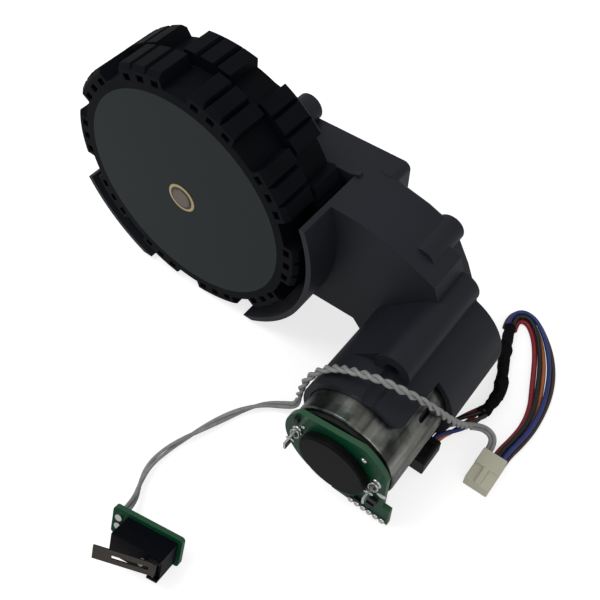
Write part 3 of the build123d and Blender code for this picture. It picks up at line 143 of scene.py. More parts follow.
def add_noise(tree, scale, detail, stretch=None):
    """The value of noise on Object coordinates, with its own stretch."""
    place = tree.nodes.new("ShaderNodeTexCoord").outputs["Object"]
    noise = tree.nodes.new("ShaderNodeTexNoise")
    noise.inputs["Scale"].default_value = scale
    noise.inputs["Detail"].default_value = detail
    if stretch:
        mapping = tree.nodes.new("ShaderNodeMapping")
        mapping.inputs["Scale"].default_value = stretch
        tree.links.new(place, mapping.inputs["Vector"])
        place = mapping.outputs["Vector"]
    tree.links.new(place, noise.inputs["Vector"])
    return noise.outputs["Fac"]


def add_ramp(tree, source, low, high, start=0.3, end=0.7):
    """A colour that runs from low to high as the source goes from start to end."""
    ramp = tree.nodes.new("ShaderNodeValToRGB")
    for element, position, colour in zip(ramp.color_ramp.elements, (start, end), (low, high)):
        element.position = position
        element.color = (*colour, 1)
    tree.links.new(source, ramp.inputs["Fac"])
    return ramp.outputs["Color"]


def add_range(tree, source, low, high):
    """A value that runs from low to high with the source."""
    span = tree.nodes.new("ShaderNodeMapRange")
    span.inputs["To Min"].default_value = low
    span.inputs["To Max"].default_value = high
    tree.links.new(source, span.inputs["Value"])
    return span.outputs["Result"]


def add_mix(tree, first, second, factor, blend="MIX"):
    """Two colours mixed, the second and the factor as values or as outputs of nodes."""
    mix = tree.nodes.new("ShaderNodeMix")
    mix.data_type = "RGBA"
    mix.blend_type = blend
    tree.links.new(first, mix.inputs["A"])
    for source, name in ((second, "B"), (factor, "Factor")):
        if isinstance(source, bpy.types.NodeSocket):
            tree.links.new(source, mix.inputs[name])
        else:
            mix.inputs[name].default_value = source
    return mix.outputs["Result"]


def surface(tree, shader, colour, gloss, rough):
    """Base colour from an output, and roughness over a range from another."""
    tree.links.new(colour, shader.inputs["Base Color"])
    tree.links.new(add_range(tree, gloss, *rough), shader.inputs["Roughness"])


def add_bump(tree, shader, source, depth, strength):
    bump = tree.nodes.new("ShaderNodeBump")
    bump.inputs["Distance"].default_value = depth
    bump.inputs["Strength"].default_value = strength
    tree.links.new(source, bump.inputs["Height"])
    tree.links.new(bump.outputs["Normal"], shader.inputs["Normal"])


def shade(colour, factor):
    return tuple(min(1.0, part * factor) for part in colour)


def moulded(name, colour, rough=(0.42, 0.58), grain=2600.0, depth=0.00002, spread=0.16, shine=0.25):
    """Moulded plastic: a fine spark-eroded grain and slow colour drift."""
    material, tree, shader = node_tree(name)
    shader.inputs["Specular IOR Level"].default_value = shine
    drift = add_noise(tree, scale=38.0, detail=5.0)
    tone = add_ramp(tree, drift, shade(colour, 1 - spread), shade(colour, 1 + spread))
    surface(tree, shader, tone, drift, rough)
    fine = add_noise(tree, scale=grain, detail=3.0)
    add_bump(tree, shader, fine, depth, strength=0.6)
    return material


def rubber(name, colour):
    """Tyre rubber: matt, with dusty patches and a coarse grain."""
    material, tree, shader = node_tree(name)
    shader.inputs["Specular IOR Level"].default_value = 0.07
    patches = add_noise(tree, scale=120.0, detail=6.0)
    tone = add_ramp(tree, patches, shade(colour, 0.75), shade(colour, 1.5), start=0.35, end=0.75)
    surface(tree, shader, tone, patches, rough=(0.5, 0.72))
    grain = add_noise(tree, scale=1800.0, detail=4.0)
    add_bump(tree, shader, grain, depth=0.00004, strength=0.7)
    return material


def metal(name, colour, rough, stretch=(1.0, 60.0, 1.0), depth=0.000004, scale=300.0):
    """Drawn or turned metal: fine lines along one direction and patchy gloss."""
    material, tree, shader = node_tree(name)
    shader.inputs["Metallic"].default_value = 1.0
    lines = add_noise(tree, scale, detail=3.0, stretch=stretch)
    patches = add_noise(tree, scale=90.0, detail=4.0)
    tone = add_ramp(tree, patches, shade(colour, 0.86), shade(colour, 1.08))
    surface(tree, shader, tone, patches, rough)
    add_bump(tree, shader, lines, depth, strength=0.8)
    return material


def ringed(name, colour, painted_gap_shade, gap_radius, edge=0.00012):
    """Turned metal with painted shade for the running gap: dark and not metallic inside the given
    radius about the axle.
    """
    material, tree, shader = node_tree(name)
    place = tree.nodes.new("ShaderNodeTexCoord")
    flat = tree.nodes.new("ShaderNodeVectorMath")
    flat.operation = "MULTIPLY"
    flat.inputs[1].default_value = (1, 0, 1)
    tree.links.new(place.outputs["Object"], flat.inputs[0])
    reach = tree.nodes.new("ShaderNodeVectorMath")
    reach.operation = "LENGTH"
    tree.links.new(flat.outputs["Vector"], reach.inputs[0])
    # Painted shade: inside the gap's radius the metal is dark and not metallic, standing in for the
    # shade down the running gap.
    outside = tree.nodes.new("ShaderNodeMapRange")
    outside.inputs["From Min"].default_value = gap_radius
    outside.inputs["From Max"].default_value = gap_radius + edge
    tree.links.new(reach.outputs["Value"], outside.inputs["Value"])
    tree.links.new(outside.outputs["Result"], shader.inputs["Metallic"])
    tone = add_ramp(tree, outside.outputs["Result"], painted_gap_shade, colour, start=0.0, end=1.0)
    patches = add_noise(tree, scale=900.0, detail=3.0)
    surface(tree, shader, tone, patches, rough=(0.28, 0.44))
    return material


def plated(name, colour, stain=(0.3, 0.34, 0.33), clean=(1, 0.97, 0.92)):
    """Zinc-plated can: broad bands along its axis, partly drawn marks and partly painted reflection,
    dark stains and a satin gloss.
    """
    material, tree, shader = node_tree(name)
    shader.inputs["Metallic"].default_value = 1.0
    streaks_and_reflection = add_noise(tree, scale=60.0, detail=5.0, stretch=(5.0, 0.35, 5.0))
    stains = add_noise(tree, scale=150.0, detail=6.0)
    # Painted reflection: the light and dark bands along the can's axis stand partly for the
    # surroundings reflected in the metal and partly for real drawn marks.
    tone = add_ramp(tree, streaks_and_reflection, shade(colour, 0.3), shade(colour, 1.8), start=0.36, end=0.66)
    spots = add_ramp(tree, stains, stain, clean, start=0.4, end=0.56)
    stained = add_mix(tree, tone, spots, factor=1.0, blend="MULTIPLY")
    surface(tree, shader, stained, stains, rough=(0.22, 0.46))
    add_bump(tree, shader, streaks_and_reflection, depth=0.00002, strength=0.5)
    return material


def insulation(name, colour):
    """Wire insulation: smooth, with faint scuffs."""
    material, tree, shader = node_tree(name)
    scuffs = add_noise(tree, scale=700.0, detail=3.0)
    tone = add_ramp(tree, scuffs, shade(colour, 0.82), shade(colour, 1.12))
    surface(tree, shader, tone, scuffs, rough=(0.35, 0.5))
    add_bump(tree, shader, scuffs, depth=0.00001, strength=0.5)
    return material


def cloth_tape(name, low=(0.0015, 0.0015, 0.002), high=(0.012, 0.012, 0.015)):
    """Cloth tape: matt, with fibres that catch the light."""
    material, tree, shader = node_tree(name)
    shader.inputs["Specular IOR Level"].default_value = 0.06
    fibres = add_noise(tree, scale=2400.0, detail=5.0)
    tone = add_ramp(tree, fibres, low, high, start=0.35, end=0.85)
    surface(tree, shader, tone, fibres, rough=(0.55, 0.8))
    add_bump(tree, shader, fibres, depth=0.00012, strength=0.9)
    return material


def solder_mask(name, colour, laminate=(0.035, 0.1, 0.055)):
    """Circuit board: green mask over faintly raised tracks, paler laminate at the cut edges."""
    material, tree, shader = node_tree(name)
    shader.inputs["Specular IOR Level"].default_value = 0.12
    tracks = tree.nodes.new("ShaderNodeTexBrick")
    tracks.inputs["Scale"].default_value = 520.0
    tracks.inputs["Mortar Size"].default_value = 0.05
    for name_of_input, factor in (("Color1", 0.7), ("Color2", 1.1), ("Mortar", 1.9)):
        tracks.inputs[name_of_input].default_value = (*shade(colour, factor), 1)
    place = tree.nodes.new("ShaderNodeTexCoord")
    turn = tree.nodes.new("ShaderNodeMapping")
    turn.inputs["Rotation"].default_value = (radians(90), 0, 0)
    tree.links.new(place.outputs["Object"], turn.inputs["Vector"])
    tree.links.new(turn.outputs["Vector"], tracks.inputs["Vector"])
    geometry = tree.nodes.new("ShaderNodeNewGeometry")
    parts = tree.nodes.new("ShaderNodeSeparateXYZ")
    tree.links.new(geometry.outputs["Normal"], parts.inputs["Vector"])
    facing = tree.nodes.new("ShaderNodeMath")
    facing.operation = "ABSOLUTE"
    tree.links.new(parts.outputs["Y"], facing.inputs[0])
    cut = add_ramp(tree, facing.outputs["Value"], (1, 1, 1), (0, 0, 0), start=0.5, end=0.72)
    both = add_mix(tree, tracks.outputs["Color"], (*laminate, 1), factor=cut)
    patches = add_noise(tree, scale=500.0, detail=2.0)
    surface(tree, shader, both, patches, rough=(0.25, 0.42))
    add_bump(tree, shader, tracks.outputs["Fac"], depth=0.00003, strength=0.5)
    return material


# The finish of each material slot: its maker, its name and its settings
RECIPES = {
    "tyre_rubber": (rubber, "Tyre rubber", {}),
    "hub_plastic": (
        moulded,
        "Hub plastic",
        {"rough": (0.55, 0.68), "grain": 3200.0, "depth": 0.000015, "spread": 0.05, "shine": 0.15},
    ),
    "case_plastic": (
        moulded,
        "Housing plastic",
        {"rough": (0.4, 0.54), "grain": 2800.0, "spread": 0.12, "shine": 0.18},
    ),
    "gear_plastic": (
        moulded,
        "Gear acetal",
        {
            "colour": (0.72, 0.7, 0.64),
            "rough": (0.3, 0.45),
            "grain": 900.0,
            "depth": 0.00001,
            "spread": 0.04,
        },
    ),
    "brass_bright": (
        ringed,
        "Turned brass",
        # The dark colour at the gap is painted shade of the running gap about the shaft.
        {"colour": (0.58, 0.47, 0.25), "painted_gap_shade": (0.012, 0.012, 0.011), "gap_radius": 0.00302},
    ),
    "shaft_steel": (
        metal,
        "Ground steel",
        {
            "colour": (0.21, 0.17, 0.145),
            "rough": (0.34, 0.5),
            "stretch": (1.0, 1.0, 1.0),
            "depth": 0.00008,
            "scale": 1900.0,
        },
    ),
    "can_steel": (plated, "Plated can", {"colour": (0.22, 0.23, 0.222)}),
    "screw_steel": (metal, "Blackened screw", {"colour": (0.06, 0.06, 0.065), "rough": (0.35, 0.5)}),
    "magnet_ferrite": (
        moulded,
        "Ferrite",
        {"colour": (0.03, 0.03, 0.033), "rough": (0.5, 0.7), "grain": 1500.0, "depth": 0.00003},
    ),
    "cap_plastic": (moulded, "End cap plastic", {"colour": (0.008, 0.008, 0.009)}),
    "board_green": (solder_mask, "Solder mask", {"colour": (0.0015, 0.034, 0.014)}),
    "solder_tin": (
        metal,
        "Solder",
        {
            "colour": (0.62, 0.62, 0.62),
            "rough": (0.12, 0.3),
            "stretch": (1, 1, 1),
            "depth": 0.0001,
            "scale": 900.0,
        },
    ),
    "chip_black": (moulded, "Chip", {"colour": (0.006, 0.006, 0.007), "rough": (0.4, 0.55)}),
    "disc_black": (
        moulded,
        "Encoder disc",
        {
            "colour": (0.0035, 0.0038, 0.0042),
            "rough": (0.42, 0.55),
            "grain": 700.0,
            "depth": 0.00003,
            "spread": 0.4,
            "shine": 0.06,
        },
    ),
    "plug_black": (moulded, "Plug nylon", {"colour": (0.006, 0.0065, 0.008), "rough": (0.4, 0.55)}),
    "connector_white": (
        moulded,
        "Natural nylon",
        {
            "colour": (0.5, 0.49, 0.38),
            "rough": (0.25, 0.4),
            "grain": 1200.0,
            "depth": 0.00001,
            "spread": 0.08,
        },
    ),
    "tape_black": (cloth_tape, "Cloth tape", {}),
    "wire_red": (insulation, "Red wire", {"colour": (0.27, 0.01, 0.022)}),
    "wire_black": (insulation, "Black wire", {"colour": (0.003, 0.003, 0.004)}),
    "wire_orange": (insulation, "Orange wire", {"colour": (0.46, 0.14, 0.035)}),
    "wire_blue": (insulation, "Blue wire", {"colour": (0.012, 0.028, 0.16)}),
    "wire_brown": (insulation, "Brown wire", {"colour": (0.04, 0.016, 0.014)}),
    "pair_grey": (insulation, "Grey wire", {"colour": (0.25, 0.25, 0.247)}),
    "switch_black": (
        moulded,
        "Switch case",
        {"colour": (0.0022, 0.0026, 0.0045), "rough": (0.4, 0.55), "shine": 0.1},
    ),
    "lever_steel": (
        metal,
        "Lever strip",
        {"colour": (0.075, 0.066, 0.058), "rough": (0.3, 0.44), "stretch": (60.0, 1.0, 1.0)},
    ),
    "plunger_white": (moulded, "Plunger", {"colour": (0.5, 0.5, 0.48)}),
}
FINISHES = {}


def finish_of(slot):
    """The finish for one of the record's material slots, made once."""
    if slot not in FINISHES:
        scene = bpy.context.scene
        chosen = {
            "tyre_rubber": scene.module_wheel.rubber,
            "hub_plastic": scene.module_wheel.disc,
            "case_plastic": scene.module_housing.colour,
        }
        maker, name, settings = RECIPES[slot]
        if slot in chosen:
            settings = {"colour": tuple(chosen[slot]), **settings}
        FINISHES[slot] = maker(name, **settings)
    return FINISHES[slot]


# Helpers for the pieces
MERGE_WITHIN = 0.000002
FLAT_WITHIN = radians(0.6)
SMOOTH_BELOW = radians(32)
TUBE_SMOOTH_BELOW = radians(50)


def deselect():
    for thing in bpy.context.selected_objects:
        thing.select_set(False)


def make_active(thing):
    deselect()
    thing.select_set(True)
    bpy.context.view_layer.objects.active = thing


def add_object(name, data):
    thing = bpy.data.objects.new(name, data)
    bpy.context.collection.objects.link(thing)
    return thing


def body_of_node(node):
    for body, members in frame["record"]["behaviour"]["bodies"].items():
        if node in members:
            return body
    raise RuntimeError("no body holds " + node)


def slot_of_node(node):
    for entry in frame["record"]["subparts"]:
        if entry["node"] == node:
            return entry["material_slot"]
    raise RuntimeError("no slot for " + node)


def dress(thing, *slots):
    """Puts the finishes of these slots on a piece."""
    thing.data.materials.clear()
    for slot in slots:
        thing.data.materials.append(finish_of(slot))


def in_metres(point):
    """A point along the module, back from the hub's face and up from the floor, in millimetres."""
    x, depth, height = (value / MM_IN_METRE for value in point)
    return x, HUB_FACE + depth, FLOOR + height


def spline_curve(name, points, resolution):
    """A curve of one open NURBS spline with given control points, in millimetres."""
    curve = bpy.data.curves.new(name, "CURVE")
    curve.dimensions = "3D"
    spline = curve.splines.new("NURBS")
    spline.points.add(len(points) - 1)
    for place, point in zip(spline.points, points):
        place.co = (*in_metres(point), 1)
    spline.order_u = 3
    spline.use_endpoint_u = True
    spline.resolution_u = resolution
    return curve


def curve_piece(name, points, radius, body, slot):
    """A round cord along its spline."""
    curve = spline_curve(name, points, resolution=12)
    curve.bevel_depth = radius
    curve.bevel_resolution = 4
    curve.use_fill_caps = True
    piece = add_object(name, curve)
    dress(piece, slot)
    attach(piece, body)
    return piece


def centreline(points):
    """Points of the smooth route, read from its own NURBS spline."""
    curve = spline_curve("route", points, resolution=14)
    holder = add_object("route", curve)
    bpy.context.view_layer.update()
    drawn = holder.evaluated_get(bpy.context.evaluated_depsgraph_get())
    mesh = bpy.data.meshes.new_from_object(drawn)
    route = [vertex.co.copy() for vertex in mesh.vertices]
    bpy.data.objects.remove(holder)
    bpy.data.curves.remove(curve)
    bpy.data.meshes.remove(mesh)
    return route


def evenly(route, step):
    """The same line again with points a set distance apart."""
    spots = [route[0].copy()]
    left = step
    for start, end in zip(route, route[1:]):
        run = (end - start).length
        while run >= left:
            start = start.lerp(end, left / run)
            spots.append(start.copy())
            run = (end - start).length
            left = step
        left -= run
    shortest = step * 0.3
    if (spots[-1] - route[-1]).length > shortest:
        spots.append(route[-1].copy())
    else:
        spots[-1] = route[-1].copy()
    return spots


def stations(spots):
    """Each spot with its distance along the line and two steady cross directions."""
    last = len(spots) - 1
    side = (spots[1] - spots[0]).normalized().cross(Vector((0, 0, 1))).normalized()
    run = 0.0
    for index, spot in enumerate(spots):
        before = spots[max(index - 1, 0)]
        after = spots[min(index + 1, last)]
        tangent = (after - before).normalized()
        side = (side - tangent * side.dot(tangent)).normalized()
        run += (spot - before).length
        yield run, spot, side, tangent.cross(side).normalized()


def length_of(route):
    return sum((b - a).length for a, b in zip(route, route[1:]))


def ring_at(centre, side, up, radius, count):
    """Points of a round section."""
    angles = (2 * pi * turn / count for turn in range(count))
    return [centre + (side * cos(angle) + up * sin(angle)) * radius for angle in angles]


def tube_mesh(rings, vertices, faces, slots, slot):
    """Adds one closed tube to the lists, from rings with the same number of points."""
    first = len(vertices)
    count = len(rings[0])
    last = first + (len(rings) - 1) * count
    for ring in rings:
        vertices.extend(ring)
    for row in range(first, last, count):
        for spot in range(count):
            a = row + spot
            b = row + (spot + 1) % count
            faces.append((a, b, b + count, a + count))
            slots.append(slot)
    faces.append(tuple(first + spot for spot in reversed(range(count))))
    faces.append(tuple(last + spot for spot in range(count)))
    slots.extend((slot, slot))


def mesh_piece(name, vertices, faces, slots, materials, body):
    """A piece of tubes, smooth and with its faces turned outwards."""
    mesh = bpy.data.meshes.new(name)
    mesh.from_pydata([tuple(v) for v in vertices], [], faces)
    piece = add_object(name, mesh)
    dress(piece, *materials)
    for polygon, slot in zip(mesh.polygons, slots):
        polygon.material_index = slot
    make_active(piece)
    bpy.ops.object.mode_set(mode="EDIT")
    bpy.ops.mesh.select_all(action="SELECT")
    bpy.ops.mesh.normals_make_consistent(inside=False)
    bpy.ops.object.mode_set(mode="OBJECT")
    bpy.ops.object.shade_smooth_by_angle(angle=TUBE_SMOOTH_BELOW)
    deselect()
    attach(piece, body)
    return piece


def rounded_copy(node, width, angle=28.0):
    """A copy of a CAD node with its facets merged and its edges rounded, in place of the node."""
    copy = add_object(node + "_dressed", frame["nodes"][node].data.copy())
    make_active(copy)
    bpy.ops.object.mode_set(mode="EDIT")
    bpy.ops.mesh.select_all(action="SELECT")
    bpy.ops.mesh.remove_doubles(threshold=MERGE_WITHIN)
    bpy.ops.mesh.dissolve_limited(angle_limit=FLAT_WITHIN)
    bpy.ops.object.mode_set(mode="OBJECT")
    bevel = copy.modifiers.new("edges", "BEVEL")
    bevel.width = width
    bevel.segments = 2
    bevel.limit_method = "ANGLE"
    bevel.angle_limit = radians(angle)
    bpy.ops.object.modifier_apply(modifier=bevel.name)
    bpy.ops.object.shade_smooth_by_angle(angle=SMOOTH_BELOW)
    weights = copy.modifiers.new("weights", "WEIGHTED_NORMAL")
    weights.weight = 100
    weights.keep_sharp = True
    bpy.ops.object.modifier_apply(modifier=weights.name)
    deselect()
    dress(copy, slot_of_node(node))
    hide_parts(node)
    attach(copy, body_of_node(node))
    return copy


def solder_dome(place, radius, scale):
    """A blob of solder, sizes in millimetres."""
    bpy.ops.mesh.primitive_uv_sphere_add(
        segments=16,
        ring_count=8,
        radius=radius / MM_IN_METRE,
        location=[value / MM_IN_METRE for value in place],
        scale=scale,
    )
    return bpy.context.active_object


def solder_ring(place, ring, wire, tilt, lean):
    """A tinned loop of wire, sizes in millimetres and turns in degrees."""
    bpy.ops.mesh.primitive_torus_add(
        location=[value / MM_IN_METRE for value in place],
        rotation=(radians(tilt), radians(lean), 0),
        major_radius=ring / MM_IN_METRE,
        minor_radius=wire / MM_IN_METRE,
        major_segments=20,
        minor_segments=8,
    )
    return bpy.context.active_object


# Stage: the camera is fitted to the photograph
CAMERA_PLACE = (0.0989, -0.0946, 0.1284)
CAMERA_RIGHT = (0.793, 0.6075, 0.0)
CAMERA_FORWARD = (-0.371, 0.4845, -0.792)
FLOOR_SIZE = 6.0
FLOOR_GAP = 0.0002
# Name, place, size, share of the lamp's power and the point that it lights
LAMPS = (
    ("key lamp", (-0.25, -0.15, 0.55), 0.35, 1.0, (0.02, 0, 0)),
    ("fill lamp", (0.5, -0.35, 0.35), 0.4, 0.45, (0.04, 0, 0)),
)


def backdrop(colour, grey=0.5, glow_on_object=0.2, glow_in_view=0.72):
    """Pale floor that glows more in the camera's view than on the object."""
    material, tree, shader = node_tree("Backdrop")
    shader.inputs["Roughness"].default_value = 0.9
    shader.inputs["Base Color"].default_value = (grey, grey, grey, 1)
    glow = tree.nodes.new("ShaderNodeEmission")
    glow.inputs["Color"].default_value = (*colour, 1)
    seen = tree.nodes.new("ShaderNodeLightPath")
    bright = add_range(tree, seen.outputs["Is Camera Ray"], glow_on_object, glow_in_view)
    tree.links.new(bright, glow.inputs["Strength"])
    both = tree.nodes.new("ShaderNodeAddShader")
    tree.links.new(shader.outputs["BSDF"], both.inputs[0])
    tree.links.new(glow.outputs["Emission"], both.inputs[1])
    tree.links.new(both.outputs["Shader"], tree.nodes["Material Output"].inputs["Surface"])
    return material


class ModuleStage(bpy.types.Operator):
    """Camera at the photograph's angle, soft lamps and a pale floor"""

    bl_idname = "module.stage"
    bl_label = "Stage"

    def execute(self, context):
        sizes = context.scene.module_stage
        context.scene.view_settings.view_transform = "Standard"
        lens = bpy.data.cameras.new("camera")
        lens.lens = 48
        lens.sensor_width = 36
        lens.clip_start = 0.01
        camera = add_object("camera", lens)
        right = Vector(CAMERA_RIGHT).normalized()
        forward = Vector(CAMERA_FORWARD).normalized()
        up = right.cross(forward).normalized()
        turn = Matrix((right, up, -forward)).transposed()
        camera.matrix_world = Matrix.Translation(CAMERA_PLACE) @ turn.to_4x4()
        context.scene.camera = camera

        bpy.ops.mesh.primitive_plane_add(size=FLOOR_SIZE, location=(0, 0, 0))
        floor = context.active_object
        floor.name = "floor"
        for vertex in floor.data.vertices:
            vertex.co.z = FLOOR - FLOOR_GAP
        floor.data.materials.append(backdrop(sizes.floor_colour))

        world = bpy.data.worlds.new("even light")
        world.use_nodes = True
        context.scene.world = world
        sky = world.node_tree.nodes["Background"]
        sky.inputs["Color"].default_value = (1, 1, 1, 1)
        sky.inputs["Strength"].default_value = sizes.sky_strength
        for name, place, size, share, aim in LAMPS:
            light = bpy.data.lights.new(name, "AREA")
            light.energy = sizes.lamp_power * share
            light.size = size
            lamp = add_object(name, light)
            lamp.location = place
            lamp.rotation_mode = "QUATERNION"
            lamp.rotation_quaternion = (Vector(aim) - Vector(place)).to_track_quat("-Z", "Y")
        return {"FINISHED"}


# Cords: listed points in millimetres, as in_metres takes them
LOOM_ROUTE = [
    (71.3, -2.0, 2.3),
    (71.3, 0.6, 2.3),
    (73.6, 4.8, 1.9),
    (76.0, 9.4, 1.9),
    (77.6, 14.6, 1.9),
    (76.9, 20.0, 1.9),
    (74.3, 25.6, 1.9),
    (72.0, 31.0, 1.9),
    (70.3, 36.6, 1.9),
]
# The middle wire's x and depth, the pitch between the wires and how far every second one is raised
LANES = [
    (70.3, 36.6, 0.62, 1.2),
    (69.4, 39.6, 0.62, 1.2),
    (70.8, 42.2, 0.62, 1.2),
    (74.0, 41.9, 0.62, 1.2),
    (77.4, 38.8, 0.75, 1.1),
    (80.4, 34.8, 1.0, 0.8),
    (82.8, 30.3, 1.15, 0.7),
    (84.7, 25.4, 1.1, 0.8),
    (86.2, 20.3, 0.8, 1.1),
    (86.8, 14.8, 0.64, 1.2),
    (86.3, 9.8, 0.62, 1.2),
    (85.5, 5.7, 0.62, 1.2),
    (85.5, 3.1, 0.62, 1.2),
]
LANE_HEIGHT = 0.7
MIDDLE_LANE = 2
# Colour and radius of the wire in each lane
WIRES = (
    ("red", 0.00065),
    ("black", 0.00055),
    ("orange", 0.00055),
    ("blue", 0.00055),
    ("brown", 0.00055),
)
PAIR_ROUTE = [
    (82.6, 3.1, 2.4),
    (82.6, 5.3, 2.4),
    (81.6, 7.0, 3.0),
    (79.4, 6.8, 4.3),
    (77.6, 4.6, 6.4),
    (76.5, 1.6, 9.8),
    (75.6, -1.6, 14.4),
    (74.3, -4.6, 19.4),
    (72.6, -7.2, 24.4),
    (70.0, -9.4, 28.4),
    (66.6, -11.4, 31.2),
    (62.4, -12.8, 32.7),
    (57.2, -13.3, 31.2),
    (52.2, -13.0, 27.6),
    (48.6, -13.4, 23.6),
    (46.2, -14.6, 19.3),
    (45.2, -15.4, 14.2),
    (44.4, -15.0, 9.0),
    (42.6, -14.0, 4.2),
    (39.6, -14.2, 1.5),
    (36.0, -16.4, 1.15),
    (32.9, -20.5, 1.15),
    (30.2, -26.3, 1.15),
    (27.8, -32.7, 1.15),
    (26.0, -38.5, 1.15),
    (25.5, -43.6, 1.15),
    (27.0, -47.9, 1.2),
    (29.44, -51.89, 2.01),
    (30.12, -55.75, 4.0),
]

# Loom, in metres: the untaped tail, then the tape
TAIL = 0.0145
TAIL_WIRES = ("orange", "red", "black", "brown", "blue")
TAIL_WIRE_RADIUS = 0.00052
TAIL_TURN = 160
TAIL_OVERLAP = 0.001
TAPE_RADIUS = 0.00138
TAPE_POINTS = 20
TAPE_LAP = 0.00013
TAPE_LIP = 0.00008
# Unevenness of the tape: height, radians a metre along it and turns about it
TAPE_WAVES = ((0.00007, 900, 3), (0.00005, 2100, 1), (0.0001, 1370, 2))
LUMP_HEIGHT = 0.00016
LUMP_WAVES = 620
LUMP_LEAN = 0.8

# Twisted pair, in metres: slack, tight over the barrel, then slack
PAIR_RADIUS = 0.00047
PAIR_CLOSENESS = 0.9
TIGHT_FROM = 0.011
TIGHT_TO = 0.077
SLACK_FACTOR = 5.5
# Unevenness of its strands: share of the radius, radians a metre along it and lead
STRAND_WAVES = ((0.12, 310, 0), (0.1, 130, 1))
TWIST_DRIFT = 0.0005
TWIST_WAVES = 170


def lane_route(lane):
    """The listed lanes side by side: the middle lane shifted across by the lane's pitch."""
    points = []
    for index, (x, depth, pitch, lift) in enumerate(LANES):
        before = LANES[max(index - 1, 0)]
        after = LANES[min(index + 1, len(LANES) - 1)]
        arriving = Vector((x - before[0], depth - before[1]))
        leaving = Vector((after[0] - x, after[1] - depth))
        arriving = arriving.normalized() if index > 0 else leaving.normalized()
        leaving = leaving.normalized() if index < len(LANES) - 1 else arriving
        across = Vector((-arriving.y - leaving.y, arriving.x + leaving.x))
        shift = (lane - MIDDLE_LANE) * pitch * 2 / across.length_squared
        height = LANE_HEIGHT + lift * (lane % 2)
        points.append((x + across.x * shift, depth + across.y * shift, height))
    return points


def tape_radius(run, angle, phase):
    """The taped loom's radius: the tape's lap with its raised lip, waves and the wires' lumps."""
    first_turn, narrowing, lip_share = 0.0006, 0.9, 0.08
    radius = TAPE_RADIUS + TAPE_LAP * (1 - phase) + (TAPE_LIP if phase < lip_share else 0.0)
    radius += sum(height * sin(along * run + about * angle) for height, along, about in TAPE_WAVES)
    radius += LUMP_HEIGHT * sin(LUMP_WAVES * run + LUMP_LEAN * sin(angle))
    return radius * narrowing if run < TAIL + first_turn else radius


def tape_rings(spots, lap):
    """Sections of the taped stretch of the loom."""
    rings = []
    for run, spot, side, up in stations(spots):
        if run < TAIL - TAIL_OVERLAP:
            continue
        ring = []
        for turn in range(TAPE_POINTS):
            angle = 2 * pi * turn / TAPE_POINTS
            phase = ((run - TAIL) / lap % 1.0 + turn / TAPE_POINTS) % 1.0
            radius = tape_radius(run, angle, phase)
            ring.append(spot + side * radius * cos(angle) + up * radius * sin(angle))
        rings.append(ring)
    return rings


def tail_rings(spots, strand):
    """Sections of one wire of the untaped tail, which bulges between the plug and the tape."""
    rings = []
    spread, flatness = 0.00102, 0.8
    bulge = 0.0006 if strand % 2 else 0.00024
    for run, spot, side, up in list(stations(spots))[::2]:
        if run > TAIL + TAIL_OVERLAP:
            break
        away = 2 * pi * strand / len(TAIL_WIRES) + run * TAIL_TURN
        reach = spread + bulge * max(0.0, sin(pi * run / TAIL))
        centre = spot + side * reach * cos(away) + up * reach * sin(away) * flatness
        rings.append(ring_at(centre, side, up, TAIL_WIRE_RADIUS, count=8))
    return rings


def pair_rings(spots, strand, twist):
    """Sections of one strand of the pair, tightly twisted on the stretch over the barrel."""
    rings = []
    for run, spot, side, up in stations(spots):
        uneven = 1.0 + sum(share * sin(run * along + lead) for share, along, lead in STRAND_WAVES)
        tight = min(max(run, TIGHT_FROM), TIGHT_TO) - TIGHT_FROM
        slack = max(run - TIGHT_TO, 0.0)
        drift = TWIST_DRIFT * sin(tight * TWIST_WAVES)
        turned = pi * strand + 2 * pi * (tight + drift + slack / SLACK_FACTOR) / twist
        centre = spot + (side * cos(turned) + up * sin(turned)) * PAIR_RADIUS * PAIR_CLOSENESS
        rings.append(ring_at(centre, side, up, PAIR_RADIUS * min(uneven, 1.0), count=10))
    return rings


class ModuleWires(bpy.types.Operator):
    """Five coloured wires from the loom to the connector, and the connector"""

    bl_idname = "module.wires"
    bl_label = "Wires"

    def execute(self, context):
        connector = rounded_copy("loom_connector", width=0.0002, angle=20.0)
        for lane, (colour, radius) in enumerate(WIRES):
            route = lane_route(lane)
            name = "wire_" + colour
            piece = curve_piece(name + "_lead", route, radius, "housing", name)
            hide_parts(name)
            length_of(centreline(route))
        return {"FINISHED"}


class ModuleLoom(bpy.types.Operator):
    """Cloth-taped loom with its untaped tail at the plug"""

    bl_idname = "module.loom"
    bl_label = "Loom"

    def execute(self, context):
        route = centreline(LOOM_ROUTE)
        spots = evenly(route, step=0.0003)
        vertices, faces, slots = [], [], []
        rings = tape_rings(spots, context.scene.module_cords.tape_lap)
        tube_mesh(rings, vertices, faces, slots, 0)
        for strand in range(len(TAIL_WIRES)):
            tube_mesh(tail_rings(spots, strand), vertices, faces, slots, 1 + strand)
        names = ["tape_black"] + ["wire_" + colour for colour in TAIL_WIRES]
        piece = mesh_piece("wire_loom_taped", vertices, faces, slots, names, "housing")
        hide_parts("wire_loom")
        [tuple(p) for p in evenly(route, step=0.001)]
        return {"FINISHED"}


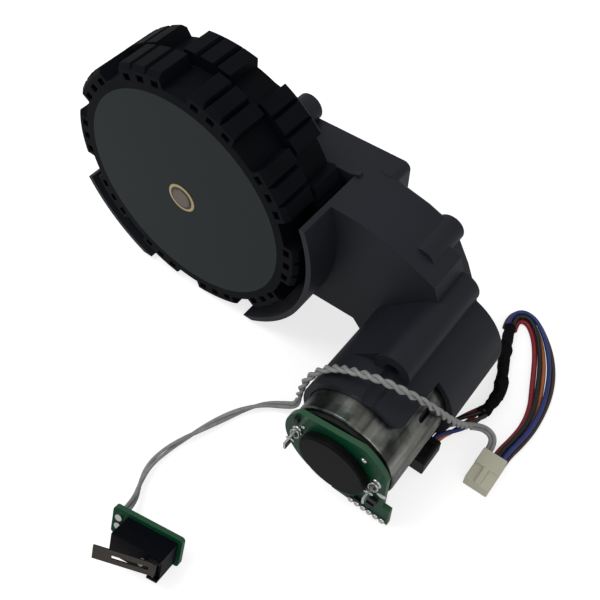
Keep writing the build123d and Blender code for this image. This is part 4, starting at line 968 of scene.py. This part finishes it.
class ModulePair(bpy.types.Operator):
    """Twisted grey pair from the connector over the barrel to the switch, and the switch's lever"""

    bl_idname = "module.pair"
    bl_label = "Twisted pair"

    def execute(self, context):
        route = centreline(PAIR_ROUTE)
        spots = evenly(route, step=0.0005)
        vertices, faces, slots = [], [], []
        for strand in (0, 1):
            rings = pair_rings(spots, strand, context.scene.module_cords.twist)
            tube_mesh(rings, vertices, faces, slots, 0)
        names = ["pair_grey"]
        piece = mesh_piece("switch_cable_twisted", vertices, faces, slots, names, "housing")
        lever = rounded_copy("switch_lever", width=0.00011, angle=20.0)
        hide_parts("switch_cable")
        [tuple(p) for p in evenly(route, step=0.002)]
        return {"FINISHED"}


# Rigid pieces: places of the solder on the encoder board, in millimetres
BOARD_Y = -32.5
TERMINALS_X = (50.8, 70.0)
TERMINALS_Z = -17.0
PADS = 6
PADS_X = 65.05
PADS_PITCH = 1.55
PADS_Z = -30.75
# x, z, radius and scale
BEADS = (
    (52.2, -14.2, 0.55, (1.0, 0.6, 0.7)),
    (66.7, -11.2, 0.6, (1.2, 0.6, 0.8)),
    (71.6, -20.6, 0.9, (1.3, 0.4, 0.8)),
)


class ModuleHousing(bpy.types.Operator):
    """Housing mouldings with rounded edges"""

    bl_idname = "module.housing"
    bl_label = "Housing"

    def execute(self, context):
        edge = context.scene.module_housing.edge
        rounded_copy("front_case", edge)
        rounded_copy("rear_cover", edge)
        return {"FINISHED"}


class ModuleBoards(bpy.types.Operator):
    """Tinned joints on the encoder board, and the encoder disc"""

    bl_idname = "module.boards"
    bl_label = "Boards"

    def execute(self, context):
        parts = []
        for x in TERMINALS_X:
            upper = (x, BOARD_Y - 1.0, TERMINALS_Z)
            lower = (x - 0.2, BOARD_Y - 2.3, TERMINALS_Z - 0.5)
            parts.append(solder_dome((x, BOARD_Y, TERMINALS_Z), 1.35, (1.0, 0.4, 1.0)))
            parts.append(solder_ring(upper, ring=0.95, wire=0.24, tilt=70, lean=15))
            parts.append(solder_ring(lower, ring=0.85, wire=0.2, tilt=110, lean=-20))
        for index in range(PADS):
            x = PADS_X + PADS_PITCH * index
            parts.append(solder_dome((x, BOARD_Y - 0.25, PADS_Z), 0.72, (1.0, 0.85, 1.0)))
            loop = (x, BOARD_Y - 0.6, PADS_Z)
            parts.append(solder_ring(loop, ring=0.42, wire=0.13, tilt=90, lean=0))
        for x, z, radius, scale in BEADS:
            parts.append(solder_dome((x, BOARD_Y, z), radius, scale))
        deselect()
        for part in parts:
            part.select_set(True)
        context.view_layer.objects.active = parts[0]
        bpy.ops.object.join()
        bpy.ops.object.transform_apply(location=True, rotation=True, scale=True)
        bpy.ops.object.shade_smooth()
        joints = context.active_object
        joints.name = "tinned_joints"
        deselect()
        dress(joints, "solder_tin")
        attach(joints, "housing")
        rounded_copy("encoder_disc", width=0.0003, angle=20.0)
        return {"FINISHED"}


class ModuleWheel(bpy.types.Operator):
    """Tyre and hub"""

    bl_idname = "module.wheel"
    bl_label = "Wheel"

    def execute(self, context):
        rounded_copy("tyre", width=0.00035, angle=20.0)
        rounded_copy("wheel_hub", width=0.0003)
        return {"FINISHED"}


class ModuleFinish(bpy.types.Operator):
    """Finishes on the CAD pieces"""

    bl_idname = "module.finish"
    bl_label = "Finishes"

    def execute(self, context):
        for node, thing in frame["nodes"].items():
            thing.data.materials.clear()
            thing.data.materials.append(finish_of(slot_of_node(node)))
        return {"FINISHED"}


class ModulePanel(bpy.types.Panel):
    """Lists the sizes and the steps that dress the module"""

    bl_idname = "VIEW3D_PT_module"
    bl_label = "Wheel module"
    bl_space_type = "VIEW_3D"
    bl_region_type = "UI"
    bl_category = "Wheel module"

    def draw(self, context):
        for group, _ in GROUPS:
            sizes = getattr(context.scene, group)
            box = self.layout.box()
            for name in sizes.__annotations__:
                box.prop(sizes, name)
        for operator in OPERATORS:
            self.layout.operator(operator.bl_idname)


GROUPS = (
    ("module_stage", StageSizes),
    ("module_housing", HousingSizes),
    ("module_wheel", WheelSizes),
    ("module_cords", CordSizes),
)
OPERATORS = (
    ModuleStage,
    ModuleFinish,
    ModuleWires,
    ModuleLoom,
    ModulePair,
    ModuleHousing,
    ModuleWheel,
    ModuleBoards,
)


def register():
    for name, group in GROUPS:
        bpy.utils.register_class(group)
        setattr(bpy.types.Scene, name, PointerProperty(type=group))
    for operator in OPERATORS:
        bpy.utils.register_class(operator)
    bpy.utils.register_class(ModulePanel)


def unregister():
    bpy.utils.unregister_class(ModulePanel)
    for operator in reversed(OPERATORS):
        bpy.utils.unregister_class(operator)
    for name, group in reversed(GROUPS):
        delattr(bpy.types.Scene, name)
        bpy.utils.unregister_class(group)


def main():
    register()
    deselect()
    bpy.ops.module.stage()
    bpy.ops.module.finish()
    bpy.ops.module.wires()
    bpy.ops.module.loom()
    bpy.ops.module.pair()
    bpy.ops.module.housing()
    bpy.ops.module.wheel()
    bpy.ops.module.boards()


if __name__ == "__main__":
    main()
